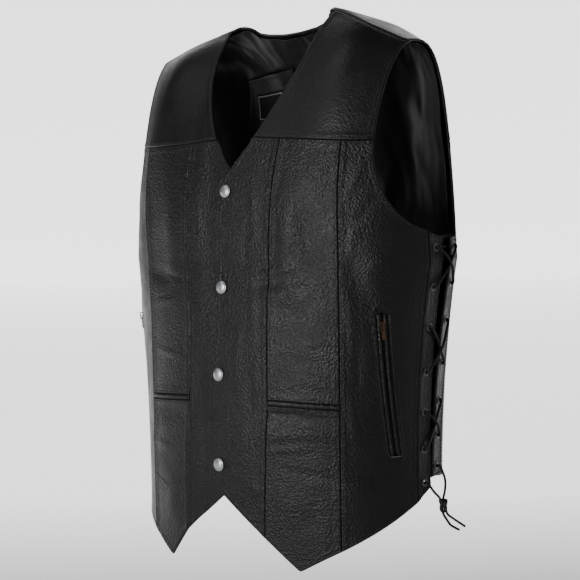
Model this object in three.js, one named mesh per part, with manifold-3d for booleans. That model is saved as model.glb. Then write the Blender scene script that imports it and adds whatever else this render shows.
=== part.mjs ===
// A laced leather vest, worn open as a hollow form, in millimetres.
// X points to the wearer's left, the front faces -Y, Z is up, and the origin lies
// between the neck ends of the shoulders, where a wearer carries the vest.
import * as THREE from 'three';
import { mergeVertices } from 'three/addons/utils/BufferGeometryUtils.js';
import Module from 'manifold-3d';

const wasm = await Module();
wasm.setup();

// Cloth and trim sizes
const LEATHER = 1.8;
const SATIN = 1.0;
const SEAM_INSET = 0.2;
const UNDERLAP = 2.6;
const LINING_DEPTH = 4.5;
const PATCH_DEPTH = 8.8;
const LABEL_DEPTH = 10.7;
const GUSSET_DEPTH = 7.6;
const SNAP_RADIUS = 7.5;
const SNAP_HEIGHT = 3.2;
const EYELET_HOLE = 2.6;
const LACE_RADIUS = 1.6;
const LACE_LIFT = 2.6;

// Body rings: half width, front depth and back depth at three heights
const CHEST = { z: -281, wide: 218.2, front: 116.6, back: 127.9 };
const WAIST = { z: -430, wide: 198.7, front: 128, back: 120.7 };
const HEM = { z: -590, wide: 197.1, front: 125.7, back: 108.8 };
const RING_POWER = 2.258;

// Shoulders: the rings close to a ridge whose slope starts at the neck
const NECK_HALF = 79;
const RIDGE_TOP = 3;
const RIDGE_SLOPE = 0.38;
const RIDGE_SOFT = 15;
const RIDGE_SHARE = 0.935;
const NECK_LEAN = 11;
const LEAN_REACH = 140;
const LEVEL_SCALE = (-CHEST.z + RIDGE_TOP) * Math.PI / 2;
const SHOULDER_SEAM = 1.1;

// Dome fullness at the neck and at the armhole, front and back: y = y0 (1 - u^power)^root
const FULL_FRONT = { neckPower: 2.3, neckRoot: 0.85, armPower: 2.245, armRoot: 0.445 };
const FULL_BACK = { neckPower: 2.3, neckRoot: 0.8, armPower: 3.5, armRoot: 0.286 };
const FULL_START = 60;
const FULL_END = 150;

// Edges and seams, each row a point: x or y, and height z
const NECK_EDGE = [
  { x: 28, z: -140 }, { x: 40, z: -120 }, { x: 49.5, z: -102 }, { x: 57, z: -85 }, { x: 64, z: -68 },
  { x: 70, z: -42 }, { x: 73.5, z: -20 },
];
const ARMHOLE_FRONT = [
  { x: 177, z: -147 }, { x: 177.5, z: -130 }, { x: 178.5, z: -112 }, { x: 180, z: -92 }, { x: 181.5, z: -76 },
  { x: 183, z: -60 }, { x: 185, z: -48 },
];
const ARMHOLE_LOW_FRONT = [
  { x: 177, z: -147 }, { x: 178.5, z: -174 }, { x: 186, z: -200 }, { x: 199, z: -226 }, { x: 209, z: -240 },
];
const ARMHOLE_BACK = [
  { x: 190, z: -150 }, { x: 191.5, z: -178 }, { x: 195.5, z: -208 }, { x: 201, z: -236 },
];
const PLACKET_EDGE = [
  { x: 28, z: -140, seam: -143 }, { x: 19.5, z: -152, seam: -152 }, { x: 11, z: -163, seam: -163 },
  { x: 0, z: -176, seam: -176 }, { x: -14, z: -189, seam: -190 }, { x: -14, z: -226, seam: -226 },
  { x: -14, z: -262, seam: -262 }, { x: -13, z: -309, seam: -309 }, { x: -12, z: -356, seam: -356 },
  { x: -15, z: -400, seam: -400 }, { x: -19, z: -440, seam: -440 }, { x: -21, z: -475, seam: -492 },
  { x: -21, z: -505, seam: -544 }, { x: -21, z: -534, seam: -596 },
];
const INNER_SEAM = [
  { z: -143, left: 67, right: 67 }, { z: -190, left: 64, right: 68 }, { z: -262, left: 63, right: 65 },
  { z: -356, left: 64, right: 53 }, { z: -440, left: 66, right: 52 }, { z: -596, left: 57, right: 64 },
];
const OUTER_SEAM = [
  { z: -147, left: 146, right: 152 }, { z: -190, left: 145, right: 153 }, { z: -262, left: 147, right: 145 },
  { z: -356, left: 148, right: 132 }, { z: -444, left: 147, right: 130 }, { z: -607, left: 145, right: 136 },
];
const HEM_POINT = { x: 99, z: -632 };
const SEAM_TOP = { inner: -143, outer: -147 };
const SEAM_POCKET = { inner: -440, outer: -444 };
const SEAM_HEM = { inner: -596, outer: -607 };
const YOKE_SEAM = [{ x: 28, z: -140 }, { x: 67, z: -143 }, { x: 146, z: -147 }, { x: 177, z: -147 }];
const PANEL_LEVELS = [0, 43, 79, 115, 162, 209, 253, 297];
const SIDE_LEVELS = [-147, -190, -226, -262, -309, -356, -400, -444, -485, -526, -567, -607];
const SIDE_STRIP_LEVELS = [-248, -300, -352, -404, -456, -507, -557];
const WELT_HALF = 3;
const WELT_RISE = 1;
const UNDERLAP_START = 24;
const UNDERLAP_END = 50;
const PANEL_STEPS = 4;
const SIDE_STEPS = 5;
const SHOULDER_Z = -20;

// Side lacing: y of the strips' edges at the top and bottom, and the eyelet rows
const STRIP_FRONT = { outer: [-15.5, -15.5], lacing: [8, 9], top: [-248, -256], bottom: [-557, -541] };
const STRIP_BACK = { outer: [49.5, 34.5], lacing: [26, 11], top: [-257, -258], bottom: [-529, -531] };
const EYELET_Y = { front: [-4, -3], back: [38, 23] };
const EYELET_ROWS = [-267, -312, -357, -409, -454, -497, -535];
const BACK_ROW_RISE = 16;
const STRIP_STEPS = 12;
const GUSSET = {
  front: [-13, -13], back: [47, 32], top: -254, bottom: -532, steps: 8, thick: 1.4, sewnGap: 0.65,
  shares: [0, 0.11, 0.5, 0.89, 1],
};

// Free lace ends of the wearer's left side: knot, the bends and tips above it, and the two tails
const KNOT = { at: [206, 17, -562], wide: 6.2, tall: 10.2, lean: 0.2 };
const LEAVING = { start: 0.4, straight: 2.2, away: 3.4, drop: 2 };
const LACE_ENDS = {
  front: { letter: 'F', bend: [202.5, 4, -546], tip: [204.6, 12.4, -552.7] },
  back: { letter: 'B', bend: [207, 21.5, -534], tip: [206.8, 17.2, -552.3] },
};
const LACE_TAILS = {
  a: [[208, 20.6, -571.8], [212, 29, -579], [220, 40, -589]],
  b: [[205, 18, -572.6], [208.5, 25, -585], [214.5, 36, -593]],
};

// Back
const BACK_HEM_DIP = 20;
const BACK_NECK = [
  { x: 0, z: -14 }, { x: 25, z: -13 }, { x: 45, z: -10 }, { x: 60, z: -6 }, { x: 70, z: -3 },
];
const YOKE_SHARES = [0, 0.12, 0.24, 0.34, 0.395, 0.425, 0.54, 0.66, 0.78, 0.9, 1];
const SHOULDER_COLUMN = 5;
const SHOULDER_HALF = 187;
const GATHERS = { count: 17, depth: 1.2, reach: 42, top: -20 };
const BACK_COLUMNS = 16;
const BACK_ROWS = 7;
const LINING_SHARE = 0.97;
const LINING_DROP = 9;
const RIDGE_PLACE = 0.985;

// Inside patch and label, and the snap caps: centres and sizes
const PATCH = { x: -90, z: -88, wide: 92, tall: 70, thick: 1.2, steps: 8 };
const LABEL = { x: -90, z: -92, wide: 66, tall: 36, thick: 0.6, steps: 6 };
const SNAP_HEIGHTS = [-201, -311, -411, -515];
const SNAP_LIFT = 0.4;

// Zip pocket: y and z of its two ends, and its widths
const ZIP_TOP = { y: -64, z: -339 };
const ZIP_BOTTOM = { y: -45, z: -500 };
const ZIP_WINDOW = 13.4;
const ZIP_SLOT = 3;
const ZIP_LIP = { gap: 0.45, rise: 0.7, end: 0.4 };
const ZIP_OPENING = { end: 4.5, sliderEnd: 22, sliderGap: 0.5 };
const ZIP_BAND = { half: 8.5, past: 4, gap: 0.9 };
const CUT_OUT = 9;
const SLIDER = { wide: 6.6, tall: 10, thick: 2.6, below: 14 };
const BRIDGE = { wide: 1.6, tall: 8, deep: 4.2, lift: 2.4, holeTall: 5.6, holeDeep: 2.7, holeLift: 2.2 };
const TAB = { wide: 4.4, tall: 15.5, thick: 1, lift: 2.25, over: 0.55, corner: 1.2, bevel: 1 };
const TAB_WINDOW = { half: 1.45, top: -0.55, bottom: -5.2 };

// Largest folds: centre, half sizes, turn in degrees and height (a minus sign is a trough)
const FOLDS = [
  { back: false, x: 92, z: -232, across: 17, along: 66, turn: -6, height: 3.2 },
  { back: false, x: 122, z: -178, across: 13, along: 40, turn: -38, height: 2.2 },
  { back: false, x: 112, z: -252, across: 12, along: 52, turn: 4, height: -2 },
  { back: false, x: 74, z: -303, across: 30, along: 7, turn: 12, height: -2 },
  { back: false, x: 86, z: -318, across: 34, along: 8, turn: 8, height: 1.8 },
  { back: false, x: 105, z: -456, across: 38, along: 8, turn: -6, height: -1.8 },
  { back: false, x: 98, z: -474, across: 42, along: 9, turn: 6, height: 1.8 },
  { back: false, x: 165, z: -300, across: 12, along: 40, turn: 16, height: -2 },
  { back: false, x: 160, z: -540, across: 24, along: 13, turn: 20, height: 1.8 },
  { back: false, x: -92, z: -250, across: 18, along: 62, turn: 8, height: 2.6 },
  { back: false, x: -112, z: -300, across: 26, along: 10, turn: -14, height: -2 },
  { back: false, x: -90, z: -462, across: 34, along: 9, turn: 8, height: -1.8 },
  { back: false, x: -30, z: -350, across: 14, along: 70, turn: 3, height: 1.6 },
  { back: true, x: 70, z: -300, across: 20, along: 80, turn: 7, height: 3 },
  { back: true, x: -84, z: -285, across: 19, along: 72, turn: -9, height: 2.6 },
  { back: true, x: 0, z: -420, across: 26, along: 60, turn: 3, height: -2.6 },
  { back: true, x: 120, z: -410, across: 44, along: 10, turn: -10, height: -2.2 },
  { back: true, x: -118, z: -436, across: 46, along: 11, turn: 12, height: 2.2 },
];

const LOOKS = {
  leather: { color: 0x1c1c1d, roughness: 0.55, metalness: 0 },
  smooth: { color: 0x1f1f20, roughness: 0.5, metalness: 0 },
  satin: { color: 0x0e0e10, roughness: 0.28, metalness: 0 },
  woven: { color: 0x0b0b0c, roughness: 0.7, metalness: 0 },
  lace: { color: 0x1a1a1a, roughness: 0.6, metalness: 0 },
  steel: { color: 0x9a9b9e, roughness: 0.3, metalness: 1 },
  dark: { color: 0x3a332c, roughness: 0.4, metalness: 1 },
  tape: { color: 0x0c0c0c, roughness: 0.8, metalness: 0 },
};
const vest = new THREE.Group();
const radians = THREE.MathUtils.degToRad;
const lerp = THREE.MathUtils.lerp;

// The quadratic through the chest, waist and hem sizes, level above the chest
function ringSize(key, z) {
  const t = Math.min(z, CHEST.z);
  return [[CHEST, WAIST, HEM], [WAIST, CHEST, HEM], [HEM, CHEST, WAIST]].reduce((sum, [own, one, two]) => (
    sum + own[key] * (t - one.z) * (t - two.z) / ((own.z - one.z) * (own.z - two.z))), 0);
}

function ridgeHeight(x) {
  const past = Math.abs(x) - NECK_HALF;
  return RIDGE_TOP - RIDGE_SLOPE * (past + Math.hypot(past, RIDGE_SOFT)) / 2;
}

// A place is an angle round the body, 0 front centre, 90 the wearer's left side and 180 back centre,
// and a level: 0 at the chest ring, 1 on the shoulder ridge, past 1 down the other side of it
function skin({ angle, level }) {
  if (level > 1) return skin({ angle: Math.sign(angle) * 180 - angle, level: 2 - level });
  const share = Math.abs(Math.sin(radians(angle))) ** (2 / RING_POWER);
  const back = Math.abs(angle) > 90;
  const z = level <= 0 ? CHEST.z + level * LEVEL_SCALE : CHEST.z;
  const wide = share * ringSize('wide', z);
  const deep = ringSize(back ? 'back' : 'front', z)
    * Math.abs(Math.cos(radians(angle))) ** (2 / RING_POWER) * (back ? 1 : -1);
  const side = angle < 0 ? -1 : 1;
  if (level <= 0) return new THREE.Vector3(side * wide, deep, z);
  const full = back ? FULL_BACK : FULL_FRONT;
  const arm = THREE.MathUtils.smoothstep(wide, FULL_START, FULL_END);
  const u = Math.sin(level * Math.PI / 2);
  const close = (1 - u ** lerp(full.neckPower, full.armPower, arm)) ** lerp(full.neckRoot, full.armRoot, arm);
  const x = side * wide * (1 - (1 - RIDGE_SHARE) * u);
  const lean = u * u * NECK_LEAN * x / NECK_HALF * Math.exp(-((x / LEAN_REACH) ** 2));
  return new THREE.Vector3(x, deep * close, CHEST.z + (ridgeHeight(wide * RIDGE_SHARE) - CHEST.z) * u + lean);
}

function levelAt(z, ridgeX) {
  if (z <= CHEST.z) return (z - CHEST.z) / LEVEL_SCALE;
  return Math.asin(Math.min(1, (z - CHEST.z) / (ridgeHeight(ridgeX) - CHEST.z))) / (Math.PI / 2);
}

// The place at a given x and z on the front or back, before the lean
function atX(x, z, back = false) {
  let wide = Math.abs(x);
  let level = 0;
  for (let pass = 0; pass < 6; pass += 1) {
    level = levelAt(z, wide * RIDGE_SHARE);
    const u = Math.sin(Math.max(0, level) * Math.PI / 2);
    wide = Math.abs(x) / (1 - (1 - RIDGE_SHARE) * u);
  }
  const share = Math.min(1, wide / ringSize('wide', z));
  const angle = THREE.MathUtils.radToDeg(Math.asin(share ** (RING_POWER / 2)));
  return { angle: (back ? 180 - angle : angle) * (x < 0 ? -1 : 1), level };
}

// The place at a given y and z near the side
function atY(y, z) {
  const level = levelAt(z, CHEST.wide * RIDGE_SHARE);
  const u = Math.sin(Math.max(0, level) * Math.PI / 2);
  const full = y > 0 ? FULL_BACK : FULL_FRONT;
  const deep = ringSize(y > 0 ? 'back' : 'front', z) * (1 - u ** full.armPower) ** full.armRoot;
  const angle = THREE.MathUtils.radToDeg(Math.acos((Math.abs(y) / deep) ** (RING_POWER / 2)));
  return { angle: y > 0 ? 180 - angle : angle, level };
}

const mirrored = (place, side) => ({ angle: place.angle * side, level: place.level });

function between(one, two, t) {
  return { angle: lerp(one.angle, two.angle, t), level: lerp(one.level, two.level, t) };
}

function foldAt(point, back) {
  return FOLDS.filter((fold) => fold.back === back).reduce((sum, fold) => {
    const turn = radians(fold.turn);
    const dx = point.x - fold.x;
    const dz = point.z - fold.z;
    const across = (dx * Math.cos(turn) + dz * Math.sin(turn)) / fold.across;
    const along = (dz * Math.cos(turn) - dx * Math.sin(turn)) / fold.along;
    return sum + fold.height * Math.exp(-across * across - along * along);
  }, 0);
}

// Outward direction from two small steps over the surface
function normalAt(place) {
  const step = 0.5;
  const rise = 0.004;
  const here = skin(place);
  const round = skin({ angle: place.angle + step, level: place.level })
    .sub(skin({ angle: place.angle - step, level: place.level }));
  const up = skin({ angle: place.angle, level: place.level + rise })
    .sub(skin({ angle: place.angle, level: place.level - rise }));
  const normal = round.cross(up).normalize();
  const core = new THREE.Vector3(here.x * 0.6, 0, Math.min(here.z, -150));
  return normal.dot(here.clone().sub(core)) < 0 ? normal.negate() : normal;
}

// A point at a depth under the outer face; a minus sign lifts it off
function under(place, depth, extra = 0) {
  const flat = skin(place);
  const back = (Math.abs(place.angle) > 90) !== (place.level > 1);
  return flat.clone().addScaledVector(normalAt(place), foldAt(flat, back) + extra - depth);
}

function solidMesh(name, geometry, look) {
  const mesh = new THREE.Mesh(geometry, new THREE.MeshStandardMaterial(LOOKS[look]));
  mesh.name = name;
  geometry.computeVertexNormals();
  vest.add(mesh);
  return mesh;
}

// Two point grids, outer and inner, closed by rims into one wall
function wallGeometry(outer, inner) {
  const rows = outer.length;
  const columns = outer[0].length;
  const count = rows * columns;
  const faces = [];
  const quad = (a, b, c, d) => faces.push(a, b, c, a, c, d);
  const at = (row, column) => row * columns + column;
  for (let row = 0; row < rows - 1; row += 1) {
    for (let column = 0; column < columns - 1; column += 1) {
      const ring = [at(row, column), at(row, column + 1), at(row + 1, column + 1), at(row + 1, column)];
      quad(...ring);
      quad(...ring.map((index) => index + count).reverse());
    }
  }
  const border = [];
  for (let column = 0; column < columns - 1; column += 1) border.push(at(0, column));
  for (let row = 0; row < rows - 1; row += 1) border.push(at(row, columns - 1));
  for (let column = columns - 1; column > 0; column -= 1) border.push(at(rows - 1, column));
  for (let row = rows - 1; row > 0; row -= 1) border.push(at(row, 0));
  border.forEach((from, index) => {
    const to = border[(index + 1) % border.length];
    quad(to, from, from + count, to + count);
  });
  const points = [...outer.flat(), ...inner.flat()];
  const volume = faces.reduce((sum, _, index) => (index % 3 ? sum
    : sum + points[faces[index]].clone().cross(points[faces[index + 1]]).dot(points[faces[index + 2]])), 0);
  if (volume < 0) {
    for (let index = 0; index < faces.length; index += 3) {
      [faces[index + 1], faces[index + 2]] = [faces[index + 2], faces[index + 1]];
    }
  }
  const geometry = new THREE.BufferGeometry().setFromPoints(points);
  geometry.setIndex(faces);
  return geometry;
}

// A grid of places becomes a wall; its border is drawn in by the seam inset
function wall(places, { depth = 0, thick = LEATHER, inset = SEAM_INSET, extra = () => 0 } = {}) {
  const [outer, inner] = [depth, depth + thick].map((deep) => (
    places.map((row) => row.map((place, column) => under(place, deep, extra(place, column))))));
  [outer, inner].forEach((grid) => {
    const pull = (from, toward) => from.addScaledVector(toward.clone().sub(from).normalize(), inset);
    const last = grid.length - 1;
    const end = grid[0].length - 1;
    grid.forEach((row) => {
      pull(row[0], row[1]);
      pull(row[end], row[end - 1]);
    });
    for (let column = 0; column <= end; column += 1) {
      pull(grid[0][column], grid[1][column]);
      pull(grid[last][column], grid[last - 1][column]);
    }
  });
  return wallGeometry(outer, inner);
}

// Rows of places that run straight from one edge to another
function ruled(one, two, steps) {
  return one.map((start, row) => (
    Array.from({ length: steps + 1 }, (_, column) => between(start, two[row], column / steps))));
}

function along(one, two, steps) {
  return Array.from({ length: steps + 1 }, (_, index) => between(one, two, index / steps));
}

function seamX(seam, z, side) {
  const key = side > 0 ? 'left' : 'right';
  const low = Math.max(1, seam.findIndex((row) => row.z <= z));
  const [above, below] = [seam[low - 1], seam[low]];
  return lerp(above[key], below[key], (z - above.z) / (below.z - above.z));
}

// The height of a table of x and z at an x
function tableZ(table, x) {
  const high = Math.max(1, table.findIndex((row) => row.x >= x));
  const [a, b] = [table[high - 1], table[high]];
  return lerp(a.z, b.z, (x - a.x) / (b.x - a.x));
}

const onSeam = (seam, side) => (z) => atX(seamX(seam, z, side), z);
const flipped = (rows, side) => rows.map((row) => row.map((place) => mirrored(place, side)));

function solidOf(geometry) {
  const bare = new THREE.BufferGeometry();
  bare.setAttribute('position', geometry.getAttribute('position').clone());
  if (geometry.index) bare.setIndex(geometry.index.clone());
  const merged = mergeVertices(bare, 1e-4);
  return new wasm.Manifold(new wasm.Mesh({
    numProp: 3,
    vertProperties: new Float32Array(merged.getAttribute('position').array),
    triVerts: new Uint32Array(merged.index.array),
  }));
}

function geometryOf(solid) {
  const mesh = solid.getMesh();
  const geometry = new THREE.BufferGeometry();
  geometry.setAttribute('position', new THREE.BufferAttribute(new Float32Array(mesh.vertProperties), 3));
  geometry.setIndex(new THREE.BufferAttribute(new Uint32Array(mesh.triVerts), 1));
  return geometry;
}

// A turned placement: columns are the way round, the way up and outwards
function stand(origin, up, outward) {
  const out = outward.clone().normalize();
  const rise = up.clone().addScaledVector(out, -up.dot(out)).normalize();
  const round = rise.clone().cross(out);
  return new THREE.Matrix4().makeBasis(round, rise, out).setPosition(origin);
}

function boxGeometry(wide, tall, deep, x = 0, y = 0, z = 0) {
  return new THREE.BoxGeometry(wide, tall, deep).translate(x, y, z);
}

function frontPieces(side, label) {
  const give = (rows) => flipped(rows, side);
  const inner = onSeam(INNER_SEAM, side);
  const outer = onSeam(OUTER_SEAM, side);

  const shoulder = (x) => ({ angle: atX(x, SHOULDER_Z).angle, level: 2 - SHOULDER_SEAM });
  const shares = YOKE_SHARES.slice(SHOULDER_COLUMN);
  const ends = shares.map((share) => shoulder(share * SHOULDER_HALF));
  const neck = [...NECK_EDGE.map((row) => atX(row.x, row.z)), ends[0]];
  const armhole = [...ARMHOLE_FRONT.map((row) => atX(row.x, row.z)), ends[ends.length - 1]];
  const span = ends[ends.length - 1].angle - ends[0].angle;
  const columns = ends.map((end) => (end.angle - ends[0].angle) / span);
  const yoke = neck.map((start, row) => columns.map((t) => between(start, armhole[row], t)));
  const yokeSeam = (from, to, shareList) => shareList.map((t) => {
    const x = lerp(from, to, t);
    return atX(x, tableZ(YOKE_SEAM, x));
  });
  yoke[0] = yokeSeam(YOKE_SEAM[0].x, YOKE_SEAM[3].x, columns);
  solidMesh(`front_yoke_${label}`, wall(give(yoke)), 'smooth');

  // The right placket passes under the left one, so it sinks towards the centre and reaches across
  const edge = PLACKET_EDGE.map((row) => atX(row.x, row.z));
  const seam = PLACKET_EDGE.map((row) => inner(row.seam));
  const sink = (place) => -UNDERLAP * (1 - THREE.MathUtils.smoothstep(
    Math.abs(skin(place).x), UNDERLAP_START, UNDERLAP_END,
  ));
  const extra = side < 0 ? sink : () => 0;
  const quarters = [0, 0.25, 0.5, 0.75, 1];
  const fifths = [0, 0.2, 0.4, 0.6, 0.8, 1];
  const innerTop = seamX(INNER_SEAM, SEAM_TOP.inner, side);
  const outerTop = seamX(OUTER_SEAM, SEAM_TOP.outer, side);
  const placket = ruled(edge, seam, PANEL_STEPS);
  placket[0] = yokeSeam(YOKE_SEAM[0].x, innerTop, quarters);
  solidMesh(`placket_${label}`, wall(give(placket), { extra }), 'leather');

  const innerLevels = PANEL_LEVELS.map((drop) => inner(SEAM_TOP.inner - drop));
  const outerLevels = PANEL_LEVELS.map((drop) => outer(SEAM_TOP.outer - drop));
  innerLevels[PANEL_LEVELS.length - 1] = inner(SEAM_POCKET.inner + WELT_HALF);
  outerLevels[PANEL_LEVELS.length - 1] = outer(SEAM_POCKET.outer + WELT_HALF);
  const upper = ruled(innerLevels, outerLevels, PANEL_STEPS);
  upper[0] = yokeSeam(innerTop, outerTop, quarters);
  solidMesh(`front_upper_${label}`, wall(give(upper)), 'leather');

  const welt = [WELT_HALF, -WELT_HALF].map((lift) => (
    along(inner(SEAM_POCKET.inner + lift), outer(SEAM_POCKET.outer + lift), PANEL_STEPS)));
  const raised = wall(give(welt), { depth: -WELT_RISE, thick: LEATHER + WELT_RISE });
  solidMesh(`pocket_welt_${label}`, raised, 'leather');

  const tip = atX(HEM_POINT.x, HEM_POINT.z);
  const hemInner = inner(SEAM_HEM.inner);
  const hemOuter = outer(SEAM_HEM.outer);
  const hem = [hemInner, between(hemInner, tip, 0.5), tip, between(tip, hemOuter, 0.5), hemOuter];
  const lower = welt[1].map((start, column) => along(start, hem[column], SIDE_STEPS));
  lower[0] = lower[0].map((_, row) => (
    inner(lerp(SEAM_POCKET.inner - WELT_HALF, SEAM_HEM.inner, row / SIDE_STEPS))));
  lower[PANEL_STEPS] = lower[PANEL_STEPS].map((_, row) => (
    outer(lerp(SEAM_POCKET.outer - WELT_HALF, SEAM_HEM.outer, row / SIDE_STEPS))));
  solidMesh(`front_lower_${label}`, wall(give(lower)), 'leather');

  const sideEdge = SIDE_LEVELS.map(outer);
  const far = [...ARMHOLE_LOW_FRONT.map((row) => atX(row.x, row.z)),
    ...SIDE_STRIP_LEVELS.map((z) => atY(STRIP_FRONT.outer[0], z))];
  const sidePlaces = ruled(sideEdge, far, SIDE_STEPS);
  sidePlaces[0] = yokeSeam(outerTop, YOKE_SEAM[3].x, fifths);
  zipPocket(side, label, solidOf(wall(give(sidePlaces))));
}

function zipPocket(side, label, panel) {
  const top = mirrored(atY(ZIP_TOP.y, ZIP_TOP.z), side);
  const bottom = mirrored(atY(ZIP_BOTTOM.y, ZIP_BOTTOM.z), side);
  const up = skin(top).sub(skin(bottom));
  const length = up.length();

  // Rows across the pocket at a half width, from and to distances below its top end
  const strip = (half, from, to) => [0, 0.25, 0.5, 0.75, 1].map((t) => {
    const centre = between(top, bottom, lerp(from, to, t) / length);
    const degree = skin({ ...centre, angle: centre.angle + 1 }).distanceTo(skin(centre));
    return [-1, 1].map((t) => ({ angle: centre.angle + t * half / degree, level: centre.level }));
  });
  const cutter = (half, from, to) => (
    solidOf(wall(strip(half, from, to), { depth: -CUT_OUT, thick: 2 * CUT_OUT, inset: 0 })));
  const opening = cutter(ZIP_WINDOW / 2, 0, length);
  solidMesh(`side_front_${label}`, geometryOf(panel.subtract(opening)), 'leather');
  const lipPlaces = strip(ZIP_WINDOW / 2 - ZIP_LIP.gap, ZIP_LIP.end, length - ZIP_LIP.end);
  const lipWall = wall(lipPlaces, { depth: -ZIP_LIP.rise, thick: LEATHER + ZIP_LIP.rise, inset: 0 });
  const slot = cutter(ZIP_SLOT / 2, ZIP_OPENING.end, length - ZIP_OPENING.end)
    .add(cutter(SLIDER.wide / 2 + ZIP_OPENING.sliderGap, ZIP_OPENING.end, ZIP_OPENING.sliderEnd));
  solidMesh(`zip_welt_${label}`, geometryOf(solidOf(lipWall).subtract(slot)), 'leather');
  const bandPlaces = strip(ZIP_BAND.half, -ZIP_BAND.past, length + ZIP_BAND.past);
  const tape = wall(bandPlaces, { depth: LEATHER + ZIP_BAND.gap, thick: SATIN });
  solidMesh(`zip_tape_${label}`, tape, 'tape');

  const hinge = between(top, bottom, SLIDER.below / length);
  const spot = stand(under(hinge, 0), up, normalAt(hinge));
  const body = solidOf(boxGeometry(SLIDER.wide, SLIDER.tall, SLIDER.thick, 0, 0, -0.5));
  const bridge = solidOf(boxGeometry(BRIDGE.wide, BRIDGE.tall, BRIDGE.deep, 0, 0, BRIDGE.lift)).subtract(
    solidOf(boxGeometry(2.5 * BRIDGE.wide, BRIDGE.holeTall, BRIDGE.holeDeep, 0, 0, BRIDGE.holeLift)),
  );
  solidMesh(`zip_slider_${label}`, geometryOf(body.add(bridge)).applyMatrix4(spot), 'dark');

  const outline = new THREE.Shape();
  const half = TAB.wide / 2;
  outline.moveTo(-half, TAB.over).lineTo(-half, TAB.bevel - TAB.tall).lineTo(TAB.corner - half, -TAB.tall)
    .lineTo(half - TAB.corner, -TAB.tall).lineTo(half, TAB.bevel - TAB.tall).lineTo(half, TAB.over);
  const window = new THREE.Path();
  const { half: inside, top: high, bottom: low } = TAB_WINDOW;
  window.moveTo(-inside, high).lineTo(inside, high).lineTo(inside, low).lineTo(-inside, low);
  outline.holes.push(window);
  const tab = new THREE.ExtrudeGeometry(outline, { depth: TAB.thick, bevelEnabled: false });
  tab.translate(0, 0, TAB.lift - TAB.thick / 2);
  const pull = solidMesh(`pull_tab_${label}`, geometryOf(solidOf(tab)).applyMatrix4(spot), 'dark');
  pull.userData.hinge = {
    at: new THREE.Vector3(0, 0, TAB.lift).applyMatrix4(spot).toArray(),
    axis: new THREE.Vector3(-1, 0, 0).transformDirection(spot).toArray(),
  };
}

function eyeletPlace(column, row) {
  const t = row / (EYELET_ROWS.length - 1);
  const z = EYELET_ROWS[row] + (column === 'back' ? BACK_ROW_RISE * t : 0);
  return atY(lerp(...EYELET_Y[column], t), z);
}

// A strip of leather pierced by its row of eyelet holes
function laceStrip(side, label, column, strip) {
  const edge = (y, top, bottom) => Array.from({ length: STRIP_STEPS + 1 }, (_, index) => (
    atY(lerp(...y, index / STRIP_STEPS), lerp(top, bottom, index / STRIP_STEPS))));
  const one = edge(strip.outer, strip.top[0], strip.bottom[0]);
  const two = edge(strip.lacing, strip.top[1], strip.bottom[1]);
  let solid = solidOf(wall(flipped(ruled(one, two, 3), side)));
  EYELET_ROWS.forEach((_, row) => {
    const place = mirrored(eyeletPlace(column, row), side);
    const drill = new THREE.CylinderGeometry(EYELET_HOLE, EYELET_HOLE, 12, 8).rotateX(Math.PI / 2);
    drill.applyMatrix4(stand(under(place, 0), new THREE.Vector3(0, 0, 1), normalAt(place)));
    solid = solid.subtract(solidOf(drill));
  });
  solidMesh(`lace_${column}_${label}`, geometryOf(solid), 'leather');
}

// The points of a route are the rings of its tube
class Route extends THREE.Curve {
  constructor(points) {
    super();
    this.points = points;
  }

  getPoint(t, target = new THREE.Vector3()) {
    const spot = Math.min(Math.max(t, 0), 1) * (this.points.length - 1);
    const low = Math.min(Math.floor(spot), this.points.length - 2);
    return target.lerpVectors(this.points[low], this.points[low + 1], spot - low);
  }

  getPointAt(t, target) {
    return this.getPoint(t, target);
  }

  getTangentAt(t, target) {
    return this.getTangent(t, target);
  }
}

function cordMesh(name, points) {
  const section = new THREE.Shape(Array.from({ length: 8 }, (_, index) => new THREE.Vector2(
    LACE_RADIUS * Math.cos(index * Math.PI / 4), LACE_RADIUS * Math.sin(index * Math.PI / 4),
  )));
  const geometry = new THREE.ExtrudeGeometry(section, {
    steps: points.length - 1, bevelEnabled: false, extrudePath: new Route(points),
  });
  const solid = solidOf(geometry);
  solidMesh(name, geometryOf(solid), 'lace');
}

function smoothRoute(points, steps) {
  return new THREE.CatmullRomCurve3(points).getSpacedPoints(steps);
}

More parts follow.
